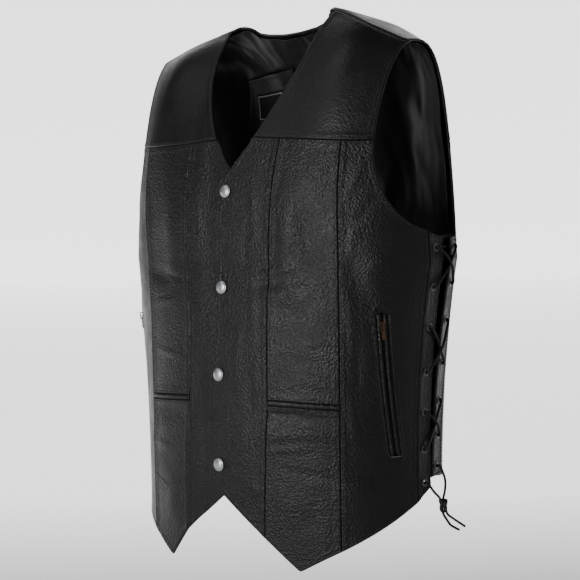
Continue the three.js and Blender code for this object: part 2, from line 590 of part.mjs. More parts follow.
function lacing(side, label) {
  const column = { F: 'front', B: 'back' };
  const at = (key, row) => mirrored(eyeletPlace(column[key], row), side);
  const out = (key, row) => under(at(key, row), -LACE_LIFT);
  const inside = (key, row) => under(at(key, row), LEATHER + LACE_LIFT);
  const through = (key, row, outward) => (
    outward ? [inside(key, row), out(key, row)] : [out(key, row), inside(key, row)]);
  const cross = (fromKey, fromRow, toKey, toRow, lift) => [0.25, 0.5, 0.75].map((t) => (
    under(between(at(fromKey, fromRow), at(toKey, toRow), t), -LACE_LIFT - lift * (t === 0.5 ? 1 : 0.6))));
  const run = (key, from, to) => [0.33, 0.67].map((t) => (
    under(between(at(key, from), at(key, to), t), LEATHER + LACE_LIFT)));

  // Up one strand from the lowest front eyelet, across inside the top row, and down the other
  const points = [];
  const keys = ['F', 'B'];
  let key = 'F';
  for (let row = 6; row > 0; row -= 2) {
    const other = keys[1 - keys.indexOf(key)];
    points.push(...through(key, row, false), ...run(key, row, row - 1), ...through(key, row - 1, true));
    points.push(...cross(key, row - 1, other, row - 2, 0));
    key = other;
  }
  points.push(...through(key, 0, false));
  points.push(...[0.33, 0.67].map((t) => under(between(at('B', 0), at('F', 0), t), LEATHER + LACE_LIFT)));
  key = 'F';
  for (let row = 0; row < 6; row += 2) {
    const other = keys[1 - keys.indexOf(key)];
    points.push(...through(key, row, true), ...cross(key, row, other, row + 1, 2 * LACE_RADIUS + 0.5));
    key = other;
    points.push(...through(key, row + 1, false), ...run(key, row + 1, row + 2));
  }
  points.push(...through(key, 6, true));
  cordMesh(`lace_${label}`, points);

  // The free ends meet in an overhand knot below the hem and leave it as two tails
  const spot = ([x, y, z]) => new THREE.Vector3(x * side, y, z);
  const leave = (letter, reach, drop) => out(letter, 6).addScaledVector(normalAt(at(letter, 6)), reach)
    .add(spot([0, 0, -drop]));
  Object.entries(LACE_ENDS).forEach(([end, { letter, bend, tip }]) => {
    const free = smoothRoute([leave(letter, LEAVING.away, LEAVING.drop), spot(bend), spot(tip)], 5);
    const straight = [leave(letter, LEAVING.start, 0), leave(letter, LEAVING.straight, 0)];
    cordMesh(`lace_end_${end}_${label}`, [...straight, ...free]);
  });
  const ball = new THREE.SphereGeometry(1, 10, 8).scale(KNOT.wide, KNOT.wide, KNOT.tall);
  ball.rotateX(KNOT.lean).translate(...spot(KNOT.at).toArray());
  solidMesh(`lace_knot_${label}`, geometryOf(solidOf(ball)), 'lace');
  Object.entries(LACE_TAILS).forEach(([letter, path]) => {
    cordMesh(`lace_tail_${letter}_${label}`, smoothRoute(path.map(spot), 5));
  });
}

// The leather behind the lacing is sewn under the strips at its edges and stands off between them
function gusset(side, label) {
  const edge = (y) => Array.from({ length: GUSSET.steps + 1 }, (_, index) => (
    atY(lerp(...y, index / GUSSET.steps), lerp(GUSSET.top, GUSSET.bottom, index / GUSSET.steps))));
  const [one, two] = [edge(GUSSET.front), edge(GUSSET.back)];
  const rows = one.map((start, row) => GUSSET.shares.map((t) => between(start, two[row], t)));
  const last = GUSSET.shares.length - 1;
  const sewn = (_, column) => (column % last ? 0 : GUSSET_DEPTH - LEATHER - GUSSET.sewnGap);
  const geometry = wall(flipped(rows, side), { depth: GUSSET_DEPTH, thick: GUSSET.thick, extra: sewn });
  solidMesh(`gusset_${label}`, geometry, 'leather');
}

// Rows across the back; the share p runs from the wearer's right edge to the left one
function backRow(edge, columns, dip) {
  return Array.from({ length: columns + 1 }, (_, index) => {
    const p = index / columns * 2 - 1;
    const turn = (180 - edge.angle) * Math.abs(p);
    const angle = p < 0 ? -(180 - turn) : 180 - turn;
    return { angle, level: edge.level - dip * (1 - p * p) / LEVEL_SCALE };
  });
}

function backEdge() {
  const [high, low] = [STRIP_BACK.top[0], STRIP_BACK.bottom[0]];
  const strip = Array.from({ length: 7 }, (_, index) => (
    atY(lerp(STRIP_BACK.outer[1], STRIP_BACK.outer[0], index / 6), lerp(low, high, index / 6))));
  const arm = [...ARMHOLE_BACK].reverse().map((row) => atX(row.x, row.z, true));
  return [...strip, ...arm];
}

// The top edge at a share of the width: the back neck, then over the ridge to the shoulder seam
function topEdge(share, drop) {
  const x = share * SHOULDER_HALF;
  const last = BACK_NECK[BACK_NECK.length - 1];
  if (x > last.x + 5) return { angle: 180 - atX(x, SHOULDER_Z).angle, level: SHOULDER_SEAM };
  if (x > last.x) return { angle: 180 - atX(x, SHOULDER_Z).angle, level: RIDGE_PLACE };
  return atX(x, tableZ(BACK_NECK, x) - drop, true);
}

function yokeColumns(drop) {
  const bottomEdge = atX(ARMHOLE_BACK[0].x, ARMHOLE_BACK[0].z, true);
  return YOKE_SHARES.map((share) => ({
    low: { angle: 180 - (180 - bottomEdge.angle) * share, level: bottomEdge.level },
    high: topEdge(share, drop),
  }));
}

function yokeRows(steps, drop) {
  const half = yokeColumns(drop);
  const both = [...half.slice(1).reverse().map(({ low, high }) => (
    { low: mirrored(low, -1), high: mirrored(high, -1) })), ...half];
  return Array.from({ length: steps + 1 }, (_, row) => (
    both.map(({ low, high }) => between(low, high, row / steps))));
}

function backPieces() {
  const edge = backEdge();
  const top = edge[edge.length - 1].level;
  const bottom = edge[0].level;
  const rows = edge.map((place) => (
    backRow(place, BACK_COLUMNS, BACK_HEM_DIP * (top - place.level) / (top - bottom))));
  solidMesh('back_panel', wall(rows), 'leather');
  solidMesh('back_yoke', wall(yokeRows(BACK_ROWS, 0)), 'smooth');

  // The satin follows the same places a little deeper; its gathers are waves that fade below the neck
  const shares = [...YOKE_SHARES.slice(1).reverse().map((share) => -share), ...YOKE_SHARES];
  const satinRows = edge.slice(1).map((place) => shares.map((share) => {
    const turn = (180 - place.angle) * Math.abs(share) * LINING_SHARE;
    return { angle: share < 0 ? turn - 180 : 180 - turn, level: place.level };
  }));
  const upper = yokeRows(BACK_ROWS - 1, LINING_DROP).slice(1).map((row) => row.map((place) => ({
    angle: Math.sign(place.angle) * (180 - (180 - Math.abs(place.angle)) * LINING_SHARE),
    level: Math.min(place.level, 1),
  })));
  const waves = (place) => {
    const point = skin(place);
    const fade = Math.exp(-(((point.z - GATHERS.top) / GATHERS.reach) ** 2));
    return -GATHERS.depth * fade * (1 + Math.cos(point.x / NECK_HALF * GATHERS.count * Math.PI / 2)) / 2;
  };
  const satin = wall([...satinRows, ...upper], { depth: LINING_DEPTH, thick: SATIN, extra: waves });
  solidMesh('lining_back', satin, 'satin');
}

function labels() {
  const onBack = (name, { x, z, wide, tall, thick, steps }, depth, look) => {
    const rows = [0, 0.25, 0.5, 0.75, 1].map((t) => Array.from({ length: steps + 1 }, (_, index) => (
      atX(x + wide * (index / steps - 0.5), z + tall * (t - 0.5), true))));
    solidMesh(name, wall(rows, { depth, thick, inset: 0 }), look);
  };
  onBack('label_patch', PATCH, PATCH_DEPTH, 'leather');
  onBack('label_woven', LABEL, LABEL_DEPTH, 'woven');
}

function snaps() {
  const profile = [[0, 0], [SNAP_RADIUS, 0], [SNAP_RADIUS, 0.9], [SNAP_RADIUS * 0.9, 1.9],
    [SNAP_RADIUS * 0.55, 2.8], [0, SNAP_HEIGHT]].map(([x, y]) => new THREE.Vector2(x, y));
  SNAP_HEIGHTS.forEach((z, index) => {
    const place = atX(-2 - index, z);
    const cap = new THREE.LatheGeometry(profile, 14).rotateX(Math.PI / 2);
    cap.applyMatrix4(stand(under(place, -SNAP_LIFT), new THREE.Vector3(0, 0, 1), normalAt(place)));
    solidMesh(`snap_cap_${index + 1}`, geometryOf(solidOf(cap)), 'steel');
  });
}

[['left', 1], ['right', -1]].forEach(([label, side]) => {
  frontPieces(side, label);
  laceStrip(side, label, 'front', STRIP_FRONT);
  laceStrip(side, label, 'back', STRIP_BACK);
  gusset(side, label);
  lacing(side, label);
});
backPieces();
labels();
snaps();

export default vest;
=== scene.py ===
"""A black leather vest: panels, seams, stitches, snaps, zips, laces and satin round its frame."""

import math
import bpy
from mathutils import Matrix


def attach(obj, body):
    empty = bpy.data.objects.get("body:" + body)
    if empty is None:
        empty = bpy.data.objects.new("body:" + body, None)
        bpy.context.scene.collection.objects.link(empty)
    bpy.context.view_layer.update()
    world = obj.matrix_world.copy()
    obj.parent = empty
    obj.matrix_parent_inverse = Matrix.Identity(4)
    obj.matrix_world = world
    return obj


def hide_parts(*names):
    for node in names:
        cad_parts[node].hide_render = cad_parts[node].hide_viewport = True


bl_info = {
    "name": "Leather vest",
    "version": (1, 0, 0),
    "blender": (4, 5, 0),
    "location": "View3D > Sidebar > Vest",
    "description": "Makes a laced leather vest in its worn form, piece by piece",
    "category": "Object",
}

import bpy
import numpy as np
from mathutils import Matrix, Vector

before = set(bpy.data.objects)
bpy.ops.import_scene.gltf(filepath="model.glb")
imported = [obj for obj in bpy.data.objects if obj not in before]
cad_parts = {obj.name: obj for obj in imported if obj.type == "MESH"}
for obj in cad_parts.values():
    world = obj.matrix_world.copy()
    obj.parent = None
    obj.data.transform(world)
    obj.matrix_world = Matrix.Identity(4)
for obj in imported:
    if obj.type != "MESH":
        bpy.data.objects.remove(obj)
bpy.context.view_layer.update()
MM = 0.001
SIDES = (("left", 1), ("right", -1))

# Body rings (half width, front depth, back depth) at three heights, and the shoulders, in mm
CHEST_Z, WAIST_Z, HEM_Z = -281.0, -430.0, -590.0
RINGS = {"wide": (218.2, 198.7, 197.1), "front": (116.6, 128.0, 125.7), "back": (127.9, 120.7, 108.8)}
RING_POWER = 2.258
NECK_HALF, RIDGE_TOP, RIDGE_SLOPE, RIDGE_SOFT, RIDGE_SHARE = 79.0, 3.0, 0.38, 15.0, 0.935
NECK_LEAN, LEAN_REACH = 11.0, 140.0
LEVEL_SCALE = (RIDGE_TOP - CHEST_Z) * math.pi / 2
FULL_FRONT = (2.3, 0.85, 2.245, 0.445)
FULL_BACK = (2.3, 0.8, 3.5, 0.286)
SHOULDER_LEVEL = 0.9
UNDERLAP = 2.6

# Edges and seams: x and z in mm
NECK_EDGE = ((28, -140), (40, -120), (49.5, -102), (57, -85), (64, -68), (70, -42), (73.5, -20))
ARMHOLE_FRONT = (
    (177, -147), (177.5, -130), (178.5, -112), (180, -92), (181.5, -76), (183, -60), (185, -48),
)
ARMHOLE_LOW = (
    (177, -147), (178.5, -174), (186, -200), (199, -226), (209, -240),
)
ARMHOLE_BACK = ((190, -150), (191.5, -178), (195.5, -208), (201, -236))
PLACKET_EDGE = (
    (28, -140), (19.5, -152), (11, -163), (0, -176), (-14, -189), (-14, -226), (-14, -262), (-13, -309),
    (-12, -356), (-15, -400), (-19, -440), (-21, -475), (-21, -505), (-21, -534),
)
INNER_SEAM = {
    "z": (-143, -190, -262, -356, -440, -596),
    1: (67, 64, 63, 64, 66, 57),
    -1: (67, 68, 65, 53, 52, 64),
}
OUTER_SEAM = {
    "z": (-147, -190, -262, -356, -444, -607),
    1: (146, 145, 147, 148, 147, 145),
    -1: (152, 153, 145, 132, 130, 136),
}
YOKE_SEAM = ((28, -140), (67, -143), (146, -147), (177, -147))
HEM_POINT = (99, -632)
POCKET_BAG = ((62, -532), (99, -549), (142, -534))
WELT_HALF = 3.0

# Side lacing: y of each strip's edges at the top and bottom, heights, and the eyelet rows
STRIPS = {
    "front": {
        "outer": (-15.5, -15.5), "lacing": (8, 9), "top": (-248, -256), "bottom": (-557, -541),
        "flat": (0.026, 0.311), "area": 0.0072,
    },
    "back": {
        "outer": (49.5, 34.5), "lacing": (26, 11), "top": (-257, -258), "bottom": (-529, -531),
        "flat": (0.0245, 0.274), "area": 0.0063,
    },
}
EYELET_Y = {"front": (-4, -3), "back": (38, 23)}
EYELET_ROWS = (-267, -312, -357, -409, -454, -497, -535)
BACK_ROW_RISE = 16.0
# Half the hole cut for an eyelet, and the ring's profile as (radius, height)
EYELET_CUT = 3.7
EYELET_RING = (
    (2.5, -0.6), (2.6, 0.35), (3.1, 0.85), (3.9, 0.85), (4.8, 0.3), (5.0, -0.2), (4.2, -0.3), (3.2, -0.6),
)
LACE_LIFT = 2.6
LEATHER = 1.8

# Back
BACK_HEM_DIP = 20.0
BACK_NECK = ((0, -14), (25, -13), (45, -10), (60, -6), (70, -3))
SHOULDER_HALF = 187.0
LINING_DEPTH, PATCH_DEPTH, LABEL_DEPTH = 4.5, 8.8, 10.7
SKEW = (0.24, 0.09)
LABEL_X, PATCH_Z, LABEL_Z = -90, -88, -92
PATCH_SIZE, LABEL_SIZE = (92, 70), (66, 36)

# Snaps: heights, and the rim of a cap as (radius, height)
SNAP_HEIGHTS = (-201.0, -311.0, -411.0, -515.0)
SNAP_RIM = ((0.01, -0.2), (7.0, -0.2), (7.4, 0.2), (7.5, 0.7), (7.3, 1.15), (6.9, 1.4), (6.6, 1.3))

# Zip pocket
ZIP_TOP, ZIP_BOTTOM = (-64, -339), (-45, -500)
ZIP_WINDOW = 13.4

# Folds: back, x, z, half width across, half length along, turn in degrees, height in mm
FOLDS = (
    (False, 92, -232, 17, 66, -6, 3.2), (False, 122, -178, 13, 40, -38, 2.2),
    (False, 112, -252, 12, 52, 4, -2), (False, 74, -303, 30, 7, 12, -2),
    (False, 86, -318, 34, 8, 8, 1.8), (False, 105, -456, 38, 8, -6, -1.8),
    (False, 98, -474, 42, 9, 6, 1.8), (False, 165, -300, 12, 40, 16, -2),
    (False, 160, -540, 24, 13, 20, 1.8), (False, -92, -250, 18, 62, 8, 2.6),
    (False, -112, -300, 26, 10, -14, -2), (False, -90, -462, 34, 9, 8, -1.8),
    (False, -30, -350, 14, 70, 3, 1.6), (True, 70, -300, 20, 80, 7, 3),
    (True, -84, -285, 19, 72, -9, 2.6), (True, 0, -420, 26, 60, 3, -2.6),
    (True, 120, -410, 44, 10, -10, -2.2), (True, -118, -436, 46, 11, 12, 2.2),
)
# Finer creases that the leather alone shows, in the same columns
CREASES = (
    (False, 78, -207, 5, 22, -12, 0.5), (False, 100, -214, 6, 26, 10, -0.6),
    (False, 84, -262, 7, 30, 4, 0.7), (False, 132, -205, 4, 18, -34, -0.5),
    (False, 70, -283, 16, 2.6, 18, -0.7), (False, 82, -290, 19, 2.4, 10, 0.6),
    (False, 92, -334, 22, 3, 7, -0.6), (False, 74, -352, 14, 2.6, -6, 0.5),
    (False, 120, -372, 24, 4, 5, 0.6), (False, 110, -392, 26, 4, -7, -0.6),
    (False, 88, -420, 22, 4, 8, 0.6), (False, 124, -425, 14, 3, -12, -0.5),
    (False, 84, -452, 22, 2.4, 3, -0.8), (False, 118, -466, 20, 2.8, -9, -0.7),
    (False, 92, -492, 26, 4, 7, 0.8), (False, 110, -520, 24, 5, -12, -0.7),
    (False, 84, -552, 12, 18, 14, 0.7), (False, 112, -575, 12, 16, -18, -0.7),
    (False, 40, -222, 5, 26, 6, 0.6), (False, 30, -262, 5, 24, -5, -0.5),
    (False, 44, -338, 6, 34, 3, 0.6), (False, 24, -380, 5, 26, -6, 0.5),
    (False, 42, -432, 7, 30, 7, -0.6), (False, 30, -482, 8, 22, -12, 0.6),
    (False, 46, -540, 14, 7, -24, 0.7), (False, 162, -190, 5, 24, -22, 0.6),
    (False, 172, -226, 5, 22, -34, -0.6), (False, 160, -262, 6, 28, -12, 0.6),
    (False, 184, -286, 10, 6, 24, 0.7), (False, 158, -342, 5, 30, 4, 0.7),
    (False, 164, -402, 4, 30, -3, -0.6), (False, 158, -458, 4, 26, 5, 0.6),
    (False, 170, -520, 12, 5, 18, -0.7), (False, 156, -560, 10, 6, 26, 0.7),
    (False, -46, -230, 6, 30, 7, 0.6), (False, -36, -420, 8, 34, -5, -0.7),
    (False, -50, -520, 12, 8, 18, 0.7), (False, -86, -300, 20, 3, -10, -0.7),
    (False, -104, -330, 22, 4, 8, 0.7), (False, -96, -390, 24, 4, -5, 0.6),
    (False, -98, -455, 22, 3, 6, -0.8), (False, -110, -500, 22, 5, -8, 0.7),
    (False, -92, -560, 12, 18, -12, 0.7), (False, -150, -230, 7, 34, 10, 0.7),
    (False, -152, -420, 6, 36, -4, -0.7), (True, 40, -250, 7, 44, 5, 0.7),
    (True, -40, -330, 8, 46, -6, 0.8), (True, 60, -400, 30, 4, -7, -0.8),
    (True, -70, -415, 32, 5, 8, 0.8), (True, 96, -450, 30, 5, 5, 0.7),
    (True, -110, -380, 26, 4, -9, -0.7), (True, 20, -480, 40, 6, 3, 0.8),
    (True, 130, -330, 10, 34, 9, 0.8), (True, -140, -300, 10, 38, -8, -0.8),
    (True, 60, -100, 16, 34, -16, 0.9), (True, -64, -104, 15, 32, 14, 0.9),
)

# The camera that the photograph's lines and sizes give
CAMERA_ANGLE, CAMERA_AWAY, CAMERA_Z = 40.505, 2615.9, -162.8
CAMERA_TURN, CAMERA_PITCH, CAMERA_ROLL = 0.051, -3.458, -1.089
CAMERA_FOCUS, PHOTO_WIDE, SENSOR = 2204.17, 580, 36.0
CREASE_SHARE = 1.5

# Distances in mm from an edge at which every panel has grid lines; the stitches follow one of them
NEAR_EDGE = np.array((0.0, 0.5, 1.1, 2.0, 3.1, 4.4))
STITCH_LINE = 4
STITCH_AWAY = NEAR_EDGE[STITCH_LINE]
# Borders in mm: drop of the edge, swell beside it, turn of the inner face, depth of the stitch groove
SEAM = {"drop": 0.8, "puff": 0.9, "turn": 0.0, "sunk": 0.6}
EDGE = {"drop": 0.9, "puff": 0.7, "turn": 0.7, "sunk": 0.6}
PLAIN = {"drop": 0.0, "puff": 0.0, "turn": 0.0, "sunk": 0.0}
ROLL_WIDE, SWELL_AWAY, SWELL_WIDE, GROOVE_WIDE, TURN_WIDE = 0.7, 3, 3.2, 0.9, 9


def unit(vectors):
    """Directions of length one: each vector over its own length."""
    return vectors / np.maximum(np.linalg.norm(vectors, axis=-1, keepdims=True), 1e-9)


def measured(points):
    """Length run from the start of a line to each of its points: the running sum of its steps."""
    return np.r_[0, np.cumsum(np.linalg.norm(np.diff(points, axis=0), axis=1))]


def quads_of(index):
    """Four-cornered faces between the neighbouring rows and columns of a grid of point numbers."""
    return np.stack([index[:-1, :-1], index[:-1, 1:], index[1:, 1:], index[1:, :-1]], -1)


def ring_size(key, z):
    """The quadratic in height through the three ring sizes; above the chest it keeps the chest's size."""
    t = np.minimum(z, CHEST_Z)
    heights = (CHEST_Z, WAIST_Z, HEM_Z)
    total = 0
    for i, size in enumerate(RINGS[key]):
        a, b = (height for j, height in enumerate(heights) if j != i)
        total = total + size * (t - a) * (t - b) / ((heights[i] - a) * (heights[i] - b))
    return total


def ridge_height(x):
    """Height of the shoulder ridge: level at the neck, then a slope that starts softly."""
    past = np.abs(x) - NECK_HALF
    return RIDGE_TOP - RIDGE_SLOPE * (past + np.hypot(past, RIDGE_SOFT)) / 2


def smooth(t, low, high):
    """Rises from 0 to 1 between low and high as three squares less two cubes."""
    s = np.clip((t - low) / (high - low), 0, 1)
    return s * s * (3 - 2 * s)


def skin(places):
    """Points of the body form for (angle, level) places: rings of |x|^n + |y|^n = 1 below the chest, closed
    above it to the shoulder ridge by y = y0 (1 - u^power)^root with u the sine of the level."""
    angle, level = places[..., 0], places[..., 1]
    angle = (angle + 180) % 360 - 180
    over = level > 1
    angle = np.where(over, np.where(angle < 0, -180, 180) - angle, angle)
    level = np.where(over, 2 - level, level)
    turn = np.radians(angle)
    back = np.abs(angle) > 90
    z = CHEST_Z + np.minimum(level, 0) * LEVEL_SCALE
    wide = np.abs(np.sin(turn)) ** (2 / RING_POWER) * ring_size("wide", z)
    reach = np.where(back, ring_size("back", z), -ring_size("front", z))
    deep = np.abs(np.cos(turn)) ** (2 / RING_POWER) * reach
    arm = smooth(wide, 60, 150)
    u = np.sin(np.clip(level, 0, 1) * math.pi / 2)
    neck_power, neck_root, arm_power, arm_root = (np.where(back, b, f) for f, b in zip(FULL_FRONT, FULL_BACK))
    power = neck_power + (arm_power - neck_power) * arm
    root = neck_root + (arm_root - neck_root) * arm
    close = np.clip(1 - u**power, 0, 1) ** root
    x = np.where(angle < 0, -1, 1) * wide * (1 - (1 - RIDGE_SHARE) * u)
    lean = u * u * NECK_LEAN * x / NECK_HALF * np.exp(-((x / LEAN_REACH) ** 2))
    high = CHEST_Z + (ridge_height(wide * RIDGE_SHARE) - CHEST_Z) * u + lean
    return np.stack([x, deep * close, np.where(level <= 0, z, high)], -1)


def level_at(z, ridge_x):
    """Level of a height: even below the chest, above it the arc sine of its share of the way to the ridge."""
    low = (z - CHEST_Z) / LEVEL_SCALE
    high = np.arcsin(np.clip((z - CHEST_Z) / (ridge_height(ridge_x) - CHEST_Z), 0, 1)) / (math.pi / 2)
    return np.where(z <= CHEST_Z, low, high)


def at_x(x, z, back=False):
    """The place of a given x and z on the front or the back, found by six passes."""
    x, z = np.broadcast_arrays(np.asarray(x, float), np.asarray(z, float))
    wide = np.abs(x)
    for _ in range(6):
        level = level_at(z, wide * RIDGE_SHARE)
        wide = np.abs(x) / (1 - (1 - RIDGE_SHARE) * np.sin(np.maximum(0, level) * math.pi / 2))
    angle = np.degrees(np.arcsin(np.minimum(1, wide / ring_size("wide", z)) ** (RING_POWER / 2)))
    angle = (180 - angle if back else angle) * np.where(x < 0, -1, 1)
    return np.stack([angle, level], -1)


def at_y(y, z):
    """The place of a given y and z near the wearer's left side."""
    y, z = np.broadcast_arrays(np.asarray(y, float), np.asarray(z, float))
    level = level_at(z, RINGS["wide"][0] * RIDGE_SHARE)
    u = np.sin(np.maximum(0, level) * math.pi / 2)
    power, root = (np.where(y > 0, FULL_BACK[k], FULL_FRONT[k]) for k in (2, 3))
    deep = np.where(y > 0, ring_size("back", z), ring_size("front", z)) * (1 - u**power) ** root
    angle = np.degrees(np.arccos(np.clip(np.abs(y) / deep, 0, 1) ** (RING_POWER / 2)))
    return np.stack([np.where(y > 0, 180 - angle, angle), level], -1)


def fold_at(points, back, table):
    """Sum of bell-shaped ridges and troughs, each stretched and turned by its row of the table."""
    total = np.zeros(points.shape[:-1])
    for on_back, x, z, across, along, turn, height in table:
        c, s = math.cos(math.radians(turn)), math.sin(math.radians(turn))
        dx, dz = points[..., 0] - x, points[..., 2] - z
        bell = np.exp(-(((dx * c + dz * s) / across) ** 2) - ((dz * c - dx * s) / along) ** 2)
        total += np.where(back == on_back, height * bell, 0)
    return total


def normal_at(places):
    """Outward direction from two small steps over the form."""
    step, rise = np.array((0.5, 0)), np.array((0, 0.004))
    here = skin(places)
    across, up = (skin(places + way) - skin(places - way) for way in (step, rise))
    normal = unit(np.cross(across, up))
    core = np.stack([here[..., 0] * 0.6, 0 * here[..., 1], np.minimum(here[..., 2], -150)], -1)
    return normal * np.where(np.sum(normal * (here - core), -1, keepdims=True) < 0, -1, 1)


def under(places, depth, extra=0.0, creases=True):
    """Points at a depth under the outer face with its folds; a minus sign lifts them off it."""
    flat = skin(places)
    back = (np.abs((places[..., 0] + 180) % 360 - 180) > 90) != (places[..., 1] > 1)
    lift = fold_at(flat, back, FOLDS) + (CREASE_SHARE * fold_at(flat, back, CREASES) if creases else 0)
    return flat + normal_at(places) * (lift + extra - depth)[..., None]


def mirrored(places, side):
    """Places on the given side: the angle's sign is the side's."""
    return places * np.array((side, 1))


def degree_width(places):
    """Width in mm of one degree of angle at each place."""
    return np.linalg.norm(skin(places + (1, 0)) - skin(places), axis=-1)


def beside(places, away):
    """Places moved sideways by distances in mm: each angle grows by the distance over a degree's width."""
    moved = away / degree_width(places)
    return places + np.stack([moved, 0 * moved], -1)


def rounded(points, reach=14.0):
    """A line through the points, taken every millimetre and averaged over the reach, with its ends kept."""
    points = np.array(points, float)
    gone = measured(points)
    marks = np.linspace(0, gone[-1], max(8, int(gone[-1])))
    line = np.stack([np.interp(marks, gone, points[:, k]) for k in range(points.shape[1])], -1)
    half = max(1, min(int(reach), len(line) // 3))
    weights = np.hanning(2 * half + 3)[1:-1]
    weights = weights / weights.sum()
    padded = np.concatenate([2 * line[0] - line[half:0:-1], line, 2 * line[-1] - line[-2 : -half - 2 : -1]])
    return np.stack([np.convolve(column, weights, "valid") for column in padded.T], -1)


def along(points, reach, back=False):
    """Places of a line of (x, z) points that is rounded over the reach."""
    line = rounded(points, reach)
    return at_x(line[:, 0], line[:, 1], back)


def straight(start, end, count):
    """Places of an even run of (x, z) points between two."""
    return at_x(*np.transpose(np.linspace(start, end, count)))


def edge(*runs):
    """Joins runs of places into one edge, given as a function of the share of its length."""
    places = np.concatenate(runs)
    gone = measured(skin(places))
    kept = np.r_[True, np.diff(gone) > 1e-6]
    places, gone = places[kept], gone[kept] / gone[kept][-1]
    return lambda t: np.stack([np.interp(t, gone, places[:, 0]), np.interp(t, gone, places[:, 1])], -1)


def heights(top, bottom):
    """Even heights about 2 mm apart between two."""
    return np.linspace(top, bottom, max(6, int(abs(top - bottom) / 2)))


def seam_x(seam, z, side):
    """The x of a seam at each height, read off its rounded line."""
    line = rounded(list(zip(seam[side], seam["z"])), 24)[::-1]
    return np.interp(z, line[:, 1], line[:, 0])


def seam_edge(seam, top, bottom, side):
    """A seam between two heights as an edge."""
    z = heights(top, bottom)
    return edge(at_x(seam_x(seam, z, side), z))


def yoke_line(start, end):
    """Places of the front yoke's seam between two x, with its height drawn straight from point to point."""
    x = np.linspace(start, end, 60)
    table = np.array(YOKE_SEAM, float)
    return at_x(x, np.interp(x, table[:, 0], table[:, 1]))


def spread(lengths, cell, longest):
    """Shares of each length: fixed distances near both ends and even steps between."""
    near = NEAR_EDGE[:, None] / np.maximum(lengths, 2.4 * NEAR_EDGE[-1])
    count = max(2, int(round((longest - 2 * NEAR_EDGE[-1]) / cell)))
    middle = near[-1] + np.linspace(0, 1, count + 1)[1:-1, None] * (1 - 2 * near[-1])
    return np.concatenate([near, middle, 1 - near[::-1]])


def patch(low, high, start, end, cell=2.65):
    """Places that fill four edges: the two straight blends less the blend of the corners. start and end run
    from low to high; grid lines keep fixed distances to all four edges."""
    share = np.linspace(0, 1, 64)
    widths = np.linalg.norm(skin(start(share)) - skin(end(share)), axis=-1)
    tall = np.linalg.norm(skin(low(share)) - skin(high(share)), axis=-1)
    up = spread(np.array([tall.mean()]), cell, tall.max())[:, 0]
    across = spread(np.interp(up, share, widths), cell, widths.max()).T
    rise = spread(np.interp(across.mean(0), share, tall), cell, tall.max())
    s, t = across[..., None], rise[..., None]
    corners = (1 - s) * (1 - t) * low(0.0) + s * (1 - t) * low(1.0)
    corners = corners + (1 - s) * t * high(0.0) + s * t * high(1.0)
    return (1 - t) * low(across) + t * high(across) + (1 - s) * start(rise) + s * end(rise) - corners


def run_lengths(points, axis):
    """Length run to each point of a grid along its rows or columns: the running sum of the steps."""
    steps = np.linalg.norm(np.diff(points, axis=axis), axis=-1)
    gone = np.cumsum(steps, axis=axis)
    pad = [(0, 0), (0, 0)]
    pad[axis] = (1, 0)
    return np.pad(gone, pad)


def mesh_object(name, points, faces, material, smooth_faces=True, second=None, body="root"):
    """An object from points in millimetres and arrays of faces; the faces of the second array may have
    the second material."""
    mesh = bpy.data.meshes.new(name)
    used = np.unique(np.concatenate([f.ravel() for f in faces]))
    lookup = np.zeros(len(points), np.int32)
    lookup[used] = np.arange(len(used))
    mesh.vertices.add(len(used))
    mesh.vertices.foreach_set("co", (points[used] * MM).astype(np.float32).ravel())
    corners = np.concatenate([lookup[f].ravel() for f in faces])
    sizes = np.concatenate([np.full(len(f), f.shape[1]) for f in faces])
    mesh.loops.add(len(corners))
    mesh.loops.foreach_set("vertex_index", corners.astype(np.int32))
    mesh.polygons.add(len(sizes))
    mesh.polygons.foreach_set("loop_start", np.r_[0, np.cumsum(sizes)[:-1]].astype(np.int32))
    mesh.polygons.foreach_set("use_smooth", np.full(len(sizes), smooth_faces))
    mesh.materials.append(material)
    if second:
        mesh.materials.append(second)
        which = np.concatenate([np.full(len(f), int(k == 1)) for k, f in enumerate(faces)])
        mesh.polygons.foreach_set("material_index", which.astype(np.int32))
    mesh.update(calc_edges=True)
    if mesh.validate():
        raise ValueError(f"{name}: its mesh had to be mended")
    obj = bpy.data.objects.new(name, mesh)
    bpy.context.scene.collection.objects.link(obj)
    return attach(obj, body) if body else obj


def sheet_faces(outer, inner, index=None, keep=None):
    """Points and faces of a closed sheet from its outer and inner grids; rims join their open borders."""
    rows, columns = outer.shape[:2]
    count = rows * columns
    index = np.arange(count).reshape(rows, columns) if index is None else index
    quads = (quads_of(index) if keep is None else quads_of(index)[keep]).reshape(-1, 4)
    sides = np.concatenate([quads[:, [k, (k + 1) % 4]] for k in range(4)])
    sides = sides[sides[:, 0] != sides[:, 1]]
    _, first, times = np.unique(np.sort(sides, 1), axis=0, return_index=True, return_counts=True)
    border = sides[first[times == 1]]
    rim = np.stack([border[:, 1], border[:, 0], border[:, 0] + count, border[:, 1] + count], -1)
    points = np.concatenate([outer.reshape(-1, 3), inner.reshape(-1, 3)])
    faces = [quads, quads[:, ::-1] + count, rim]
    a, b, d = (points[quads[:, k]] for k in (0, 1, 3))
    out = points[quads[:, 0]] - points[quads[:, 0] + count]
    if np.sum(np.cross(b - a, d - a) * out) < 0:
        faces = [f[:, ::-1] for f in faces]
    return points, faces


